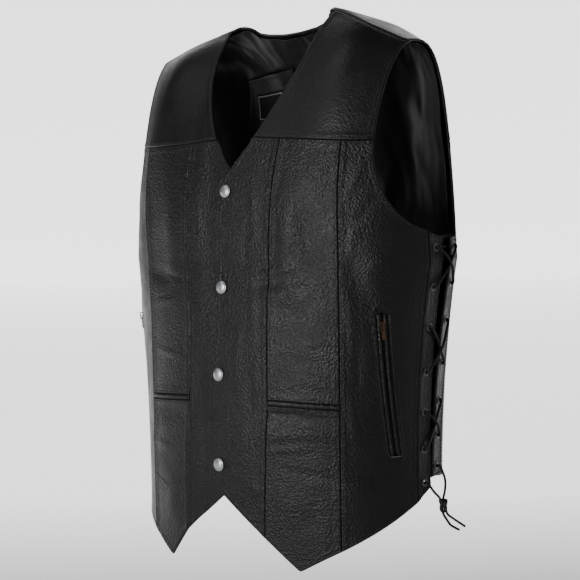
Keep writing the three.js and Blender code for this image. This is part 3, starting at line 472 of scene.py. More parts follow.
def stitch_mesh(name, lines, material, pitch=4.0, long=3.0, thick=0.95):
    """Stitches along lines of (points, normals), one each pitch: capsules of six-sided rings, whose ends
    dip into the leather by the cube of the distance from the middle."""
    sides, rings = 6, np.array((-1.0, -0.86, -0.4, 0.4, 0.86, 1.0))
    girth = np.array((0.25, 0.75, 1.0, 1.0, 0.75, 0.25)) * thick / 2
    turn = np.arange(sides) / sides * 2 * math.pi
    body = np.stack([
        np.repeat(rings * long / 2, sides),
        (girth[:, None] * np.cos(turn)).ravel(),
        (girth[:, None] * np.sin(turn) - (np.abs(rings) ** 3 * 0.42)[:, None] * np.ones(sides)).ravel(),
    ], -1)
    index = np.arange(len(rings) * sides).reshape(len(rings), sides)
    ahead = np.roll(index, -1, 1)
    walls = np.stack([index[:-1], ahead[:-1], ahead[1:], index[1:]], -1).reshape(-1, 4)
    ends = np.stack([index[0][::-1], index[-1]])
    points, quads, caps = [], [], []
    start = 0
    for line, normals in lines:
        gone = measured(line)
        marks = np.arange(pitch * 0.7, gone[-1] - pitch * 0.5, pitch)
        take = lambda grid, at: np.stack([np.interp(at, gone, grid[:, k]) for k in range(3)], -1)
        spot, ahead = take(line, marks), unit(take(line, marks + 0.4) - take(line, marks - 0.4))
        across = unit(np.cross(take(normals, marks), ahead))
        out = np.cross(ahead, across)
        basis = np.stack([ahead, across, out], 1)
        made = spot[:, None] + np.einsum("vk,skj->svj", body, basis) + out[:, None] * 0.2
        offsets = start + np.arange(len(marks)) * len(body)
        points.append(made.reshape(-1, 3))
        quads.append((walls[None] + offsets[:, None, None]).reshape(-1, 4))
        caps.append((ends[None] + offsets[:, None, None]).reshape(-1, sides))
        start += len(marks) * len(body)
    return mesh_object(name, np.concatenate(points), [np.concatenate(quads), np.concatenate(caps)], material)


def grid_normals(grid, away):
    """Directions across a grid of points, on the side away from the given grid."""
    normal = unit(np.cross(np.gradient(grid, axis=1), np.gradient(grid, axis=0)))
    return normal * np.where(np.sum(normal * (grid - away), -1, keepdims=True) < 0, -1, 1)


def named(base, label):
    """Names of a leather piece and of the CAD node that it stands for."""
    return f"{base}_{label}_leather", f"{base}_{label}"


class Panel:
    """A leather piece between four edges. Its height over the form is a bell of swell beside each edge, less a
    narrow bell at the edge and another at the stitches; the inner face turns outward near a free edge."""

    def __init__(self, places, side, borders, depth=0.0, thick=LEATHER, extra=None, creases=True):
        places = mirrored(places, side)
        flat = skin(places)
        gone = [run_lengths(flat, 0), run_lengths(flat, 1)]
        away = [gone[0], gone[0][-1:] - gone[0], gone[1], gone[1][:, -1:] - gone[1]]
        rise, turned = np.zeros(places.shape[:2]), np.zeros(places.shape[:2])
        for distance, border in zip(away, borders):
            roll = np.exp(-((distance / ROLL_WIDE) ** 2))
            swell = np.exp(-(((distance - SWELL_AWAY) / SWELL_WIDE) ** 2))
            rise += border["puff"] * swell - border["drop"] * roll
            rise -= border["sunk"] * np.exp(-(((distance - STITCH_AWAY) / GROOVE_WIDE) ** 2))
            turned += border["turn"] * (np.exp(-((distance / TURN_WIDE) ** 4)) - 1.6 * roll)
        extra = 0 if extra is None else extra(places, flat)
        self.places, self.lines = places, []
        self.outer = under(places, depth, rise + extra, creases)
        self.inner = under(places, depth + thick, extra - turned, creases)
        self.normals = grid_normals(self.outer, self.inner)

    def stitch(self, low, high, start, end, line=STITCH_LINE):
        """Takes the grid lines at the stitch distance from the chosen edges."""
        keep = slice(line, -line)
        cuts = np.s_[line], np.s_[-1 - line], np.s_[:, line], np.s_[:, -1 - line]
        for wanted, cut in zip((low, high, start, end), cuts):
            if wanted:
                self.lines.append((self.outer[cut][keep], self.normals[cut][keep]))
        return self

    def make(
        self, name, node, flat, held, slot="leather", looks=("leather", "satin"), index=None, keep=None,
        area=None, more=(),
    ):
        """The mesh with its stitches, standing for its CAD node, which it hides."""
        points, faces = sheet_faces(self.outer, self.inner, index, keep)
        obj = mesh_object(name, points, faces, look(looks[0]), second=look(looks[1]))
        pieces = list(more)
        if self.lines:
            pieces.append(stitch_mesh(f"{name}_stitches", self.lines, look("thread")))
        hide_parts(node)


class Value:
    """A shader number whose sums, products and powers are made by Math nodes."""

    def __init__(self, looks, socket):
        self.looks, self.socket = looks, socket

    def math(self, operation, *terms):
        terms = [t.socket if isinstance(t, Value) else t for t in terms]
        made = self.looks.node("ShaderNodeMath", {"operation": operation}, dict(enumerate(terms)))
        return Value(self.looks, made.outputs[0])

    def __add__(self, other):
        return self.math("ADD", self, other)

    def __mul__(self, other):
        return self.math("MULTIPLY", self, other)

    def __rsub__(self, other):
        return self.math("SUBTRACT", other, self)

    __radd__, __rmul__ = __add__, __mul__

    def between(self, low, high):
        """The share of the way from low to high, kept between 0 and 1."""
        made = self.looks.node(
            "ShaderNodeMapRange", {"clamp": True}, {"Value": self, "From Min": low, "From Max": high}
        )
        return Value(self.looks, made.outputs[0])


class Look:
    """One procedural material: its nodes, its surface and the values that vary over it."""

    def __init__(self, name):
        self.material = bpy.data.materials.new(name)
        self.material.use_nodes = True
        self.tree = self.material.node_tree
        self.surface = self.tree.nodes["Principled BSDF"]
        self.place = self.node("ShaderNodeTexCoord").outputs["Object"]

    def put(self, socket, value):
        """Links a value to a socket, or sets the socket to a constant."""
        value = value.socket if isinstance(value, Value) else value
        if isinstance(value, bpy.types.NodeSocket):
            self.tree.links.new(value, socket)
        else:
            socket.default_value = value

    def node(self, kind, settings=None, values=None):
        """A new node with its settings, and its inputs by name or number."""
        made = self.tree.nodes.new(kind)
        for key, value in (settings or {}).items():
            setattr(made, key, value)
        for key, value in (values or {}).items():
            self.put(made.inputs[key], value)
        return made

    def stretched(self, scale):
        """Object coordinates times a scale for each axis."""
        made = self.node("ShaderNodeVectorMath", {"operation": "MULTIPLY"}, {0: self.place, 1: scale})
        return made.outputs[0]

    def noise(self, scale, detail=3.0, rough=0.5, place=None):
        made = self.node("ShaderNodeTexNoise", {}, {
            "Vector": place or self.place, "Scale": scale, "Detail": detail, "Roughness": rough,
        })
        return Value(self, made.outputs[0])

    def cells(self, scale):
        made = self.node("ShaderNodeTexVoronoi", {}, {"Vector": self.place, "Scale": scale})
        return Value(self, made.outputs["Distance"])

    def blend(self, share, one, two):
        made = self.node("ShaderNodeMix", {"data_type": "RGBA"}, {"Factor": share, "A": one, "B": two})
        return made.outputs["Result"]

    def bump(self, height, strength, distance, base=None):
        values = {"Height": height, "Strength": strength, "Distance": distance}
        if base:
            values["Normal"] = base
        return self.node("ShaderNodeBump", {}, values).outputs["Normal"]

    def finish(self, **values):
        """Sets the surface's sockets, each to its constant or its link."""
        for key, value in values.items():
            self.put(self.surface.inputs[key.replace("_", " ")], value)
        return self.material


def settings():
    """The values that the sidebar shows."""
    return bpy.context.scene.vest_settings


def grey(value):
    return value, value, value, 1.0


def hide_look(name, dark, rough, pebble):
    """Cowhide: pebbled grain of cells, fine creases between them, and broad patches of polish."""
    look = Look(name)
    broad = look.noise(9, 3, 0.55).between(0.35, 0.68)
    patches = look.noise(38, 4, 0.6).between(0.3, 0.7)
    grains = look.cells(330) + 0.6 * look.cells(640)
    wrinkles = look.noise(95, 5, 0.65)
    shade = look.blend(broad * 0.55 + patches * 0.45, grey(dark * 0.7), grey(dark * 1.35))
    coarse = look.bump(wrinkles, 0.22, 0.0012)
    return look.finish(
        Base_Color=shade, Roughness=rough - 0.12 * broad + 0.14 * patches,
        Normal=look.bump(grains, pebble, 0.0012, coarse), Specular_IOR_Level=0.36,
    )


def satin_look():
    """Shiny lining: long soft creases that lean with the cloth over a fine weave. Its colour has painted shade in
    the creases' troughs and a painted sheen on their ridges.
    """
    look = Look("satin lining")
    lean = look.stretched((15.0, 12.0, 7.0))
    creases = look.noise(1.0, 2, 0.45, lean)
    weave = look.noise(900, 2)
    return look.finish(
        # painted shade and sheen: the colour darkens where the crease noise sinks and lightens where it rises
        Base_Color=look.blend(creases.between(0.3, 0.7), grey(0.006), grey(0.016)),
        Roughness=0.34 + 0.14 * weave,
        Normal=look.bump(creases, 1.0, 0.022, look.bump(weave, 0.15, 0.0002)), Specular_IOR_Level=0.5,
    )


def metal_look(name, colour, rough):
    """Metal with a brushed, slightly worn polish."""
    look = Look(name)
    worn = look.noise(260, 4, 0.6)
    return look.finish(
        Base_Color=colour, Metallic=1.0, Roughness=rough + 0.18 * worn, Normal=look.bump(worn, 0.12, 0.0002)
    )


def cloth_look(name, value, rough, scale):
    """Thread, tape or woven ribbon: a plain colour with fine ribs."""
    look = Look(name)
    ribs = look.cells(scale)
    return look.finish(
        Base_Color=look.blend(ribs, grey(value * 1.2), grey(value * 0.7)), Roughness=rough,
        Normal=look.bump(ribs, 0.5, 0.0002),
    )


def backdrop_look(name, value, glow):
    """Plain white; it glows where it lies behind the vest as the photograph sees it, and not in front."""
    look = Look(name)
    turn = math.radians(CAMERA_ANGLE)
    ahead = (-math.sin(turn), math.cos(turn), 0)
    behind = look.node("ShaderNodeVectorMath", {"operation": "DOT_PRODUCT"}, {0: look.place, 1: ahead})
    share = Value(look, behind.outputs["Value"]).between(0.1, 1.4)
    return look.finish(
        Base_Color=grey(value), Roughness=0.95, Emission_Color=look.blend(share, grey(0.0), grey(1.0)),
        Emission_Strength=glow,
    )


MAKERS = {
    "leather": lambda: hide_look("grained leather", settings().leather_dark, 0.4, settings().grain),
    "smooth": lambda: hide_look("smooth leather", settings().leather_dark * 0.9, 0.4, settings().grain * 0.45),
    "satin": satin_look,
    "thread": lambda: cloth_look("black thread", 0.03, 0.4, 2200),
    "bar": lambda: cloth_look("grey bar of thread", 0.22, 0.5, 1800),
    "lace": lambda: hide_look("lace leather", settings().leather_dark * 1.15, 0.5, 0.25),
    "steel": lambda: metal_look("nickel snap caps", (0.62, 0.63, 0.65, 1), 0.3),
    "gunmetal": lambda: metal_look("dark eyelets", (0.2, 0.2, 0.21, 1), 0.24),
    "teeth": lambda: metal_look("black zip teeth", (0.03, 0.03, 0.03, 1), 0.4),
    "bronze": lambda: metal_look("bronze zip", (0.17, 0.105, 0.075, 1), 0.3),
    "tape": lambda: cloth_look("zip tape", 0.006, 0.85, 1400),
    "woven": lambda: cloth_look("woven label", 0.006, 0.8, 1600),
    "white": lambda: cloth_look("white border thread", 0.75, 0.7, 1800),
    "floor": lambda: backdrop_look("pale floor", 0.8, 1.6),
    "backdrop": lambda: backdrop_look("white backdrop", 0.8, 1.6),
}
MADE = {}


def look(key):
    """The material of a key, made when first asked for."""
    if key not in MADE:
        MADE[key] = MAKERS[key]()
    return MADE[key]


def solo(name, points, faces, key, smooth_faces=True, body="root"):
    """An object in one material."""
    return mesh_object(name, points, faces, look(key), smooth_faces, body=body)


def turned(profile, places, depth, sides=28, inward=False):
    """Copies of a profile of (radius, height) turned round the outward direction at each place."""
    profile = np.array(profile, float)
    turn = np.arange(sides) / sides * 2 * math.pi
    centres, out = under(places, depth), normal_at(places) * (-1 if inward else 1)
    rise = unit(np.array((0.0, 0.0, 1.0)) - out * out[:, 2:3])
    across = np.cross(rise, out)
    ring = np.cos(turn)[:, None, None] * across + np.sin(turn)[:, None, None] * rise
    points = centres + profile[:, 0][:, None, None, None] * ring + profile[:, 1][:, None, None, None] * out
    points = points.transpose(2, 0, 1, 3)
    count = len(places) * len(profile) * sides
    index = np.arange(count).reshape(len(places), len(profile), sides)
    ahead = np.roll(index, -1, 2)
    quads = np.stack([index[:, :-1], ahead[:, :-1], ahead[:, 1:], index[:, 1:]], -1).reshape(-1, 4)
    return points.reshape(-1, 3), quads, index


def lathe(name, profile, places, depth, key, closed=True, inward=False, sides=28):
    """Like pieces turned at several places; an open profile gets flat ends."""
    points, quads, index = turned(profile, places, depth, sides, inward)
    if closed:
        ahead = np.roll(index, -1, 2)
        join = np.stack([index[:, -1], ahead[:, -1], ahead[:, 0], index[:, 0]], -1)
        faces = [np.concatenate([quads, join.reshape(-1, 4)])]
    else:
        faces = [quads, np.concatenate([index[:, 0, ::-1], index[:, -1]])]
    if inward:
        faces = [f[:, ::-1] for f in faces]
    return solo(name, points, faces, key)


def flowing(points, per=10):
    """Points of a smooth line through the given ones: each span is the cubic that keeps the run at its ends."""
    p = np.array(points, float)
    p = np.concatenate([2 * p[:1] - p[1:2], p, 2 * p[-1:] - p[-2:-1]])
    t = (np.arange(per) / per)[None, :, None]
    a, b, c, d = (p[k : len(p) - 3 + k, None] for k in range(4))
    spans = 0.5 * (2 * b + (c - a) * t + (2 * a - 5 * b + 4 * c - d) * t**2 + (3 * b - a - 3 * c + d) * t**3)
    return np.concatenate([spans.reshape(-1, 3), p[-2:-1]])


def lace_curve(name, points, radius, closed=False):
    """A round thong along points in millimetres."""
    curve = bpy.data.curves.new(name, "CURVE")
    curve.dimensions = "3D"
    spline = curve.splines.new("POLY")
    spline.points.add(len(points) - 1)
    spline.points.foreach_set("co", np.c_[np.array(points) * MM, np.ones(len(points))].ravel())
    spline.use_cyclic_u = closed
    spline.use_smooth = True
    curve.bevel_depth = radius * MM
    curve.bevel_resolution = 3
    curve.use_fill_caps = not closed
    curve.materials.append(look("lace"))
    obj = bpy.data.objects.new(name, curve)
    bpy.context.scene.collection.objects.link(obj)
    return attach(obj, "root")


def eyelet_places(column, side):
    """Places of a strip's eyelets from the top down, even in y; the back row climbs by an even share."""
    share = np.arange(len(EYELET_ROWS)) / (len(EYELET_ROWS) - 1)
    z = np.array(EYELET_ROWS, float) + (BACK_ROW_RISE * share if column == "back" else 0)
    y = EYELET_Y[column][0] + (EYELET_Y[column][1] - EYELET_Y[column][0]) * share
    return mirrored(at_y(y, z), side)


def lace_route(side):
    """The laced part of one lace, eyelet by eyelet: up one strand, across inside the top row, and down the
    other. Between eyelets it runs straight over the form."""
    spots = {"F": eyelet_places("front", side), "B": eyelet_places("back", side)}
    deep = LEATHER + LACE_LIFT
    points = []

    def through(key, row, *depths):
        points.extend(under(spots[key][row], depth) for depth in depths)

    def span(one, two, shares, depths):
        points.extend(under(one * (1 - t) + two * t, depth) for t, depth in zip(shares, depths))

    def inside(one, two):
        span(one, two, (0.33, 0.67), (deep, deep))

    def cross(one, two, lift):
        depths = [-LACE_LIFT - lift * share for share in (0.6, 1, 0.6)]
        span(one, two, (0.25, 0.5, 0.75), depths)

    key, other = "F", "B"
    for row in (6, 4, 2):
        through(key, row, -LACE_LIFT, deep)
        inside(spots[key][row], spots[key][row - 1])
        through(key, row - 1, deep, -LACE_LIFT)
        cross(spots[key][row - 1], spots[other][row - 2], 0)
        key, other = other, key
    through(key, 0, -LACE_LIFT, deep)
    inside(spots["B"][0], spots["F"][0])
    key, other = "F", "B"
    for row in (0, 2, 4):
        through(key, row, deep, -LACE_LIFT)
        cross(spots[key][row], spots[other][row + 1], settings().lace_width / MM + 0.5)
        key, other = other, key
        through(key, row + 1, -LACE_LIFT, deep)
        inside(spots[key][row + 1], spots[key][row + 2])
    through(key, 6, deep, -LACE_LIFT)
    return np.array(points)


# The free lace ends of the wearer's left side, in metres, from each lowest eyelet to the bare tip
FREE_ENDS = {
    "front": (
        (0.2028, 0.0040, -0.5455), (0.2042, 0.0110, -0.5522), (0.2062, 0.0158, -0.5590),
        (0.2078, 0.0192, -0.5665), (0.2085, 0.0222, -0.5735), (0.2120, 0.0290, -0.5795), (0.2162, 0.0348, -0.5846),
        (0.2200, 0.0400, -0.5890),
    ),
    "back": (
        (0.2058, 0.0216, -0.5330), (0.2072, 0.0196, -0.5450), (0.2058, 0.0176, -0.5555),
        (0.2046, 0.0168, -0.5650), (0.2050, 0.0186, -0.5728), (0.2068, 0.0222, -0.5795), (0.2090, 0.0264, -0.5862),
        (0.2118, 0.0314, -0.5900), (0.2145, 0.0360, -0.5930),
    ),
}
KNOT = (0.2062, 0.0172, -0.5622)


class VEST_OT_stage(bpy.types.Operator):
    """Camera at the photograph's viewing angle, pale floor, white backdrop and soft lights"""

    bl_idname = "vest.stage"
    bl_label = "Camera, floor and lights"

    def execute(self, context):
        scene = context.scene
        angle, turn = math.radians(CAMERA_ANGLE), math.radians(CAMERA_ANGLE + CAMERA_TURN)
        pitch, roll = math.radians(CAMERA_PITCH), math.radians(CAMERA_ROLL)
        ahead = Vector((-math.sin(turn) * math.cos(pitch), math.cos(turn) * math.cos(pitch), math.sin(pitch)))
        level = Vector((math.cos(turn), math.sin(turn), 0))
        up = level.cross(ahead)
        right = level * math.cos(roll) + up * math.sin(roll)
        up = up * math.cos(roll) - level * math.sin(roll)
        data = bpy.data.cameras.new("camera")
        data.lens, data.sensor_width, data.clip_end = CAMERA_FOCUS / PHOTO_WIDE * SENSOR, SENSOR, 50
        camera = bpy.data.objects.new("camera", data)
        spot = Vector((CAMERA_AWAY * math.sin(angle), -CAMERA_AWAY * math.cos(angle), CAMERA_Z)) * MM
        camera.matrix_world = Matrix.Translation(spot) @ Matrix((right, up, -ahead)).transposed().to_4x4()
        scene.collection.objects.link(camera)
        scene.camera = camera

        t = np.linspace(-1, 1, 9)
        gx, gy = np.meshgrid(t, t)
        grid = np.stack([gx * 22000, gy * 22000, np.full((9, 9), -780.0)], -1)
        floor = solo("floor", *self.plane(grid), "floor", body=None)
        behind = math.radians(90 + CAMERA_ANGLE)
        turn = np.linspace(behind - 0.45, behind + 0.45, 33)
        ring, rise = np.meshgrid(turn, np.array((-790.0, 9000.0)))
        wall = np.stack([9000 * np.cos(ring), 9000 * np.sin(ring), rise], -1)
        backdrop = solo("backdrop", *self.plane(wall[:, ::-1]), "backdrop", body=None)

        world = bpy.data.worlds.new("studio")
        world.use_nodes = True
        world.node_tree.nodes["Background"].inputs[0].default_value = (1, 1, 1, 1)
        world.node_tree.nodes["Background"].inputs[1].default_value = 0.09
        scene.world = world
        for name, place, aim, size, power in (
            ("key light", (-0.1, -2.7, 0.05), (0.05, 0, -0.3), 0.75, 40 * settings().light),
            ("high light", (-1.2, -1.6, 1.9), (0, 0, -0.2), 1.2, 9 * settings().light),
            ("side light", (2.6, 0.5, 0.6), (0, 0, -0.3), 1.0, 5 * settings().light),
            ("rim light", (-2.2, 1.4, 1.2), (0, 0, -0.2), 1.4, 4 * settings().light),
        ):
            lamp = bpy.data.lights.new(name, "AREA")
            lamp.shape, lamp.size, lamp.energy = "SQUARE", size, power
            obj = bpy.data.objects.new(name, lamp)
            obj.location = place
            obj.rotation_euler = (Vector(aim) - Vector(place)).to_track_quat("-Z", "Y").to_euler()
            scene.collection.objects.link(obj)
        return {"FINISHED"}

    @staticmethod
    def plane(grid):
        """Points and faces of an open grid."""
        index = np.arange(grid.shape[0] * grid.shape[1]).reshape(grid.shape[:2])
        return grid.reshape(-1, 3), [quads_of(index).reshape(-1, 4)]


class VEST_OT_laces(bpy.types.Operator):
    """Side laces through their eyelets, with a knot and two free ends on each side"""

    bl_idname = "vest.laces"
    bl_label = "Laces"

    def execute(self, context):
        """The knot is the closed line (sin t + 2 sin 2t, -sin 3t, cos t - 2 cos 2t)."""
        radius = settings().lace_width / MM / 2
        turn = np.linspace(0, 2 * math.pi, 73)[:-1]
        for label, side in SIDES:
            laced = lace_curve(f"laced_{label}", flowing(lace_route(side), 6), radius)
            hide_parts(f"lace_{label}")
            knot = np.stack([
                1.55 * (np.sin(turn) + 2 * np.sin(2 * turn)),
                1.55 * (-np.sin(3 * turn)),
                2.55 * (np.cos(turn) - 2 * np.cos(2 * turn)),
            ], -1) + np.array((KNOT[0] * side, KNOT[1], KNOT[2])) / MM
            tie = lace_curve(f"knot_{label}", knot, radius * 1.3, closed=True)
            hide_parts(f"lace_knot_{label}")
            for end, tail in (("front", "a"), ("back", "b")):
                hole = eyelet_places(end, side)[-1]
                steps = ((0.4, 0.0), (2.2, 0.6))
                leaving = [under(hole, -LACE_LIFT - away) - (0, 0, drop) for away, drop in steps]
                path = flowing(np.concatenate([leaving, np.array(FREE_ENDS[end]) * (side, 1, 1) / MM]), 8)
                free = lace_curve(f"lace_{end}_end_{label}", path, radius * 0.92)
                nodes = f"lace_end_{end}_{label}", f"lace_tail_{tail}_{label}"
                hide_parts(*nodes)
        return {"FINISHED"}


class VEST_OT_fronts(bpy.types.Operator):
    """Front yokes, plackets, chest panels, pocket welts and lower panels"""

    bl_idname = "vest.fronts"
    bl_label = "Front panels"

    def execute(self, context):
        for label, side in SIDES:
            self.yoke(label, side)
            self.panels(label, side)
        return {"FINISHED"}

    def yoke(self, label, side):
        """A patch between the yoke seam, the shoulder, the neck edge and the armhole."""
        neck, arm = along(NECK_EDGE, 10), along(ARMHOLE_FRONT, 10)
        run = at_x(np.linspace(73, SHOULDER_HALF, 60), -20.0)[:, 0]
        shoulder = np.stack([run, np.full(60, SHOULDER_LEVEL)], -1)
        shoulder[0, 0] = at_x(0.425 * SHOULDER_HALF, -20.0)[0]
        shoulder = shoulder[np.r_[True, shoulder[1:, 0] > shoulder[0, 0]]]
        neck, arm = edge(neck, shoulder[:1]), edge(arm, shoulder[-1:])
        places = patch(edge(yoke_line(28, 177)), edge(shoulder), neck, arm)
        Panel(places, side, (SEAM, SEAM, EDGE, EDGE)).stitch(True, True, True, True).make(
            *named("front_yoke", label), (0.150, 0.150), "draped", "smooth_leather", ("smooth", "satin"),
            area=0.0173,
        )

    def panels(self, label, side):
        """Placket, upper panel, welt and lower panel between the two upright seams. The right placket sinks
        under the left one; the welt is a half round of sine to the power 0.6 across."""
        inner_top, outer_top, inner_end, outer_end = (
            float(seam_x(seam, z, side))
            for seam, z in ((INNER_SEAM, -143), (OUTER_SEAM, -147), (INNER_SEAM, -596), (OUTER_SEAM, -607))
        )
        inner = lambda top, bottom: seam_edge(INNER_SEAM, top, bottom, side)
        outer = lambda top, bottom: seam_edge(OUTER_SEAM, top, bottom, side)
        centre, hem_end = rounded(PLACKET_EDGE, 9), (inner_end, -596.0)
        sink = lambda places, flat: -UNDERLAP * (1 - smooth(np.abs(flat[..., 0]), 24, 50)) * (side < 0)
        placket = patch(
            edge(straight((28, -140), (inner_top, -143), 40)), edge(along((centre[-1], hem_end), 2)),
            edge(at_x(centre[:, 0], centre[:, 1])), inner(-143, -596),
        )
        Panel(placket, side, (SEAM, EDGE, EDGE, SEAM), extra=sink).stitch(False, True, True, True).make(
            *named("placket", label), (0.098, 0.462), "hung", area=0.0333
        )
        upper = patch(
            edge(straight((inner_top, -143), (outer_top, -147), 40)), edge(self.across(side, WELT_HALF)),
            inner(-143, -440 + WELT_HALF), outer(-147, -444 + WELT_HALF),
        )
        Panel(upper, side, (SEAM, SEAM, SEAM, SEAM)).stitch(False, True, False, True).make(
            *named("front_upper", label), (0.090, 0.300), "hung", area=0.0247
        )
        rows = np.linspace(0, 1, 9)[:, None]
        welt = self.across(side, WELT_HALF, 44) * (1 - rows[..., None])
        welt = welt + self.across(side, -WELT_HALF, 44) * rows[..., None]
        swell = lambda places, flat: 1.5 * np.sin(math.pi * rows) ** 0.6 + 0 * flat[..., 0]
        piece = Panel(welt, side, (PLAIN,) * 4, extra=swell)
        piece.make(*named("pocket_welt", label), (0.082, 0.010), "folded")
        lower = patch(
            edge(self.across(side, -WELT_HALF)), edge(along((hem_end, HEM_POINT, (outer_end, -607.0)), 4)),
            inner(-440 - WELT_HALF, -596), outer(-444 - WELT_HALF, -607),
        )
        piece = Panel(lower, side, (SEAM, EDGE, SEAM, SEAM)).stitch(True, True, False, True)
        bag = mirrored(along(POCKET_BAG, 6), side)
        piece.lines.append((under(bag, 0.0), normal_at(bag)))
        piece.make(*named("front_lower", label), (0.090, 0.188), "hung", area=0.0150)

    @staticmethod
    def across(side, lift, count=50):
        """Places along the pocket seam, moved up by the lift, in even steps."""
        x = (float(seam_x(INNER_SEAM, -440 + lift, side)), float(seam_x(OUTER_SEAM, -444 + lift, side)))
        ends = at_x(np.array(x), np.array((-440.0 + lift, -444.0 + lift)))
        return ends[0] + (ends[1] - ends[0]) * np.linspace(0, 1, count)[:, None]


class VEST_OT_sides(bpy.types.Operator):
    """Side panels with their zip pockets, lacing strips, eyelets and gussets"""

    bl_idname = "vest.sides"
    bl_label = "Side panels and lacing strips"

    def execute(self, context):
        for label, side in SIDES:
            self.panel(label, side)
            for column in STRIPS:
                self.strip(label, side, column)
            self.gusset(label, side)
        return {"FINISHED"}

    def panel(self, label, side):
        """Two patches meet on the zip line; over the pocket each draws back from it by half the window, whose
        ends are rounded by the quarter ellipse sqrt(1 - (1 - t)^2)."""
        front = STRIPS["front"]
        low_edge = at_y(front["outer"][0], heights(front["top"][0], front["bottom"][0]))
        far = edge(along(ARMHOLE_LOW, 12), low_edge)
        near = seam_edge(OUTER_SEAM, -147, -607, side)
        outer_top = float(seam_x(OUTER_SEAM, -147, side))
        top, bottom = at_y(*map(float, ZIP_TOP)), at_y(*map(float, ZIP_BOTTOM))
        above, low_end = at_x((outer_top + 177) / 2, -147.0), (near(1.0) + far(1.0)) / 2
        zip_line = edge(
            np.linspace(above, top, 60)[:-1], np.linspace(top, bottom, 80), np.linspace(bottom, low_end, 30)[1:]
        )
        share = np.linspace(0, 1, 400)
        height = skin(zip_line(share))[:, 2]
        lift = (height - ZIP_BOTTOM[1]) / (ZIP_TOP[1] - ZIP_BOTTOM[1])
        inside = np.minimum(lift, 1 - lift) * (ZIP_TOP[1] - ZIP_BOTTOM[1])
        half = ZIP_WINDOW / 2 * np.sqrt(np.clip(1 - (1 - np.clip(inside / 2.2, 0, 1)) ** 2, 0, 1))
        rows = spread(np.array([462.0]), 2.4, 462.0)[:, 0]
        middle = zip_line(rows)
        shift = np.stack([np.interp(rows, share, half / degree_width(zip_line(share))), 0 * rows], -1)
        runs = []
        for k, (one, two) in enumerate(((near(rows), middle - shift), (middle + shift, far(rows)))):
            widths = np.linalg.norm(skin(one) - skin(two), axis=1)
            across = spread(widths, 2.4, widths.max()).T
            across[:, -1 if k == 0 else 0] = 1 - k
            runs.append(one[:, None] * (1 - across[..., None]) + two[:, None] * across[..., None])
        split = runs[0].shape[1] - 1
        places = np.concatenate(runs, 1)
        index = np.arange(places.shape[0] * places.shape[1]).reshape(places.shape[:2])
        shut = shift[:, 0] < 1e-6
        index[shut, split + 1] = index[shut, split]
        keep = np.ones((places.shape[0] - 1, places.shape[1] - 1), bool)
        keep[:, split] = False

        def roll(places, flat):
            """A bell of swell round the window less a narrow bell at its edge."""
            window = self.window_distance(flat, side, top, bottom)
            return 0.6 * np.exp(-(((window - 3) / 2.4) ** 2)) - 0.7 * np.exp(-((window / 0.9) ** 2))

        piece = Panel(places, side, (SEAM, EDGE, SEAM, EDGE), extra=roll).stitch(False, True, True, True)
        window = self.window_line(side, top, bottom, ZIP_WINDOW / 2 + 2.4)
        piece.lines.append((under(window, -0.45), normal_at(window)))
        piece.make(*named("side_front", label), (0.130, 0.462), "hung", index=index, keep=keep, area=0.0362)
        self.pocket(label, side, top, bottom)

    @staticmethod
    def window_line(side, top, bottom, half):
        """Places round the zip window at a distance from its centre line, with round ends."""
        length = float(np.linalg.norm(skin(top) - skin(bottom)))
        round_end = np.linspace(-math.pi / 2, math.pi / 2, 14)
        down = np.concatenate([
            np.full(60, 1.0), np.sin(round_end[::-1]), np.full(60, -1.0), np.sin(round_end), [1.0],
        ]) * half
        along = np.concatenate([
            np.linspace(0, length, 60), length + 2.0 * np.cos(round_end[::-1]), np.linspace(length, 0, 60),
            -2.0 * np.cos(round_end), [0.0],
        ])
        centre = top + (bottom - top) * (along / length)[:, None]
        return mirrored(beside(centre, down), side)

    @staticmethod
    def window_distance(flat, side, top, bottom):
        """Distance of each point to the zip window's outline, measured in the flat of its centre line."""
        one, two = skin(mirrored(top, side)), skin(mirrored(bottom, side))
        line = two - one
        length = np.linalg.norm(line)
        along = np.sum((flat - one) * line, -1) / length
        near = one + line * (np.clip(along, 0, length) / length)[..., None]
        return np.maximum(0, np.linalg.norm(flat - near, axis=-1) - ZIP_WINDOW / 2)

    def pocket(self, label, side, top, bottom):
        """Two rolled leather lips either side of the zip, its teeth and tape, and a bar of thread at the
        bottom. A lip bulges by the sine of its width to the power 0.7."""
        length = float(np.linalg.norm(skin(top) - skin(bottom)))
        t = np.linspace(0.004, 0.996, 110)[:, None, None]
        centre = top * (1 - t) + bottom * t
        arch = 1.9 * np.sin(math.pi * np.linspace(0.08, 1, 11))[None] ** 0.7 - 0.9
        bulge = lambda places, flat: arch + 0 * flat[..., 0]
        parts = []
        for sign in (-1, 1):
            places = beside(centre, (sign * np.linspace(1.5, 6.2, 11))[None])
            lip = Panel(places, side, (PLAIN,) * 4, extra=bulge)
            parts.append(sheet_faces(lip.outer, lip.inner))
        (one, one_faces), (two, two_faces) = parts
        faces = [np.concatenate([a, b + len(one)]) for a, b in zip(one_faces, two_faces)]
        points = np.concatenate([one, two])
        obj = mesh_object(f"zip_lips_{label}", points, faces, look("leather"), second=look("tape"))
        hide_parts(f"zip_welt_{label}")

        t = np.linspace(-4 / length, 1 + 4 / length, 60)[:, None, None]
        places = beside(top * (1 - t) + bottom * t, np.linspace(-8.4, 8.4, 9)[None])
        tape = Panel(places, side, (PLAIN,) * 4, 2.8, 1.0)
        points, faces = sheet_faces(tape.outer, tape.inner)
        band = mesh_object(f"zip_tape_{label}_cloth", points, faces, look("tape"))
        teeth = self.teeth(label, side, top, bottom, length)
        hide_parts(f"zip_tape_{label}")

        place = bottom + (bottom - top) * (1.2 / length)
        places = mirrored(beside(place, np.linspace(-6.8, 6.8, 30)), side)
        line = (under(places, -0.5), normal_at(places))
        stitch_mesh(f"zip_bar_{label}", [line], look("bar"), pitch=1.1, long=1.6, thick=0.9)

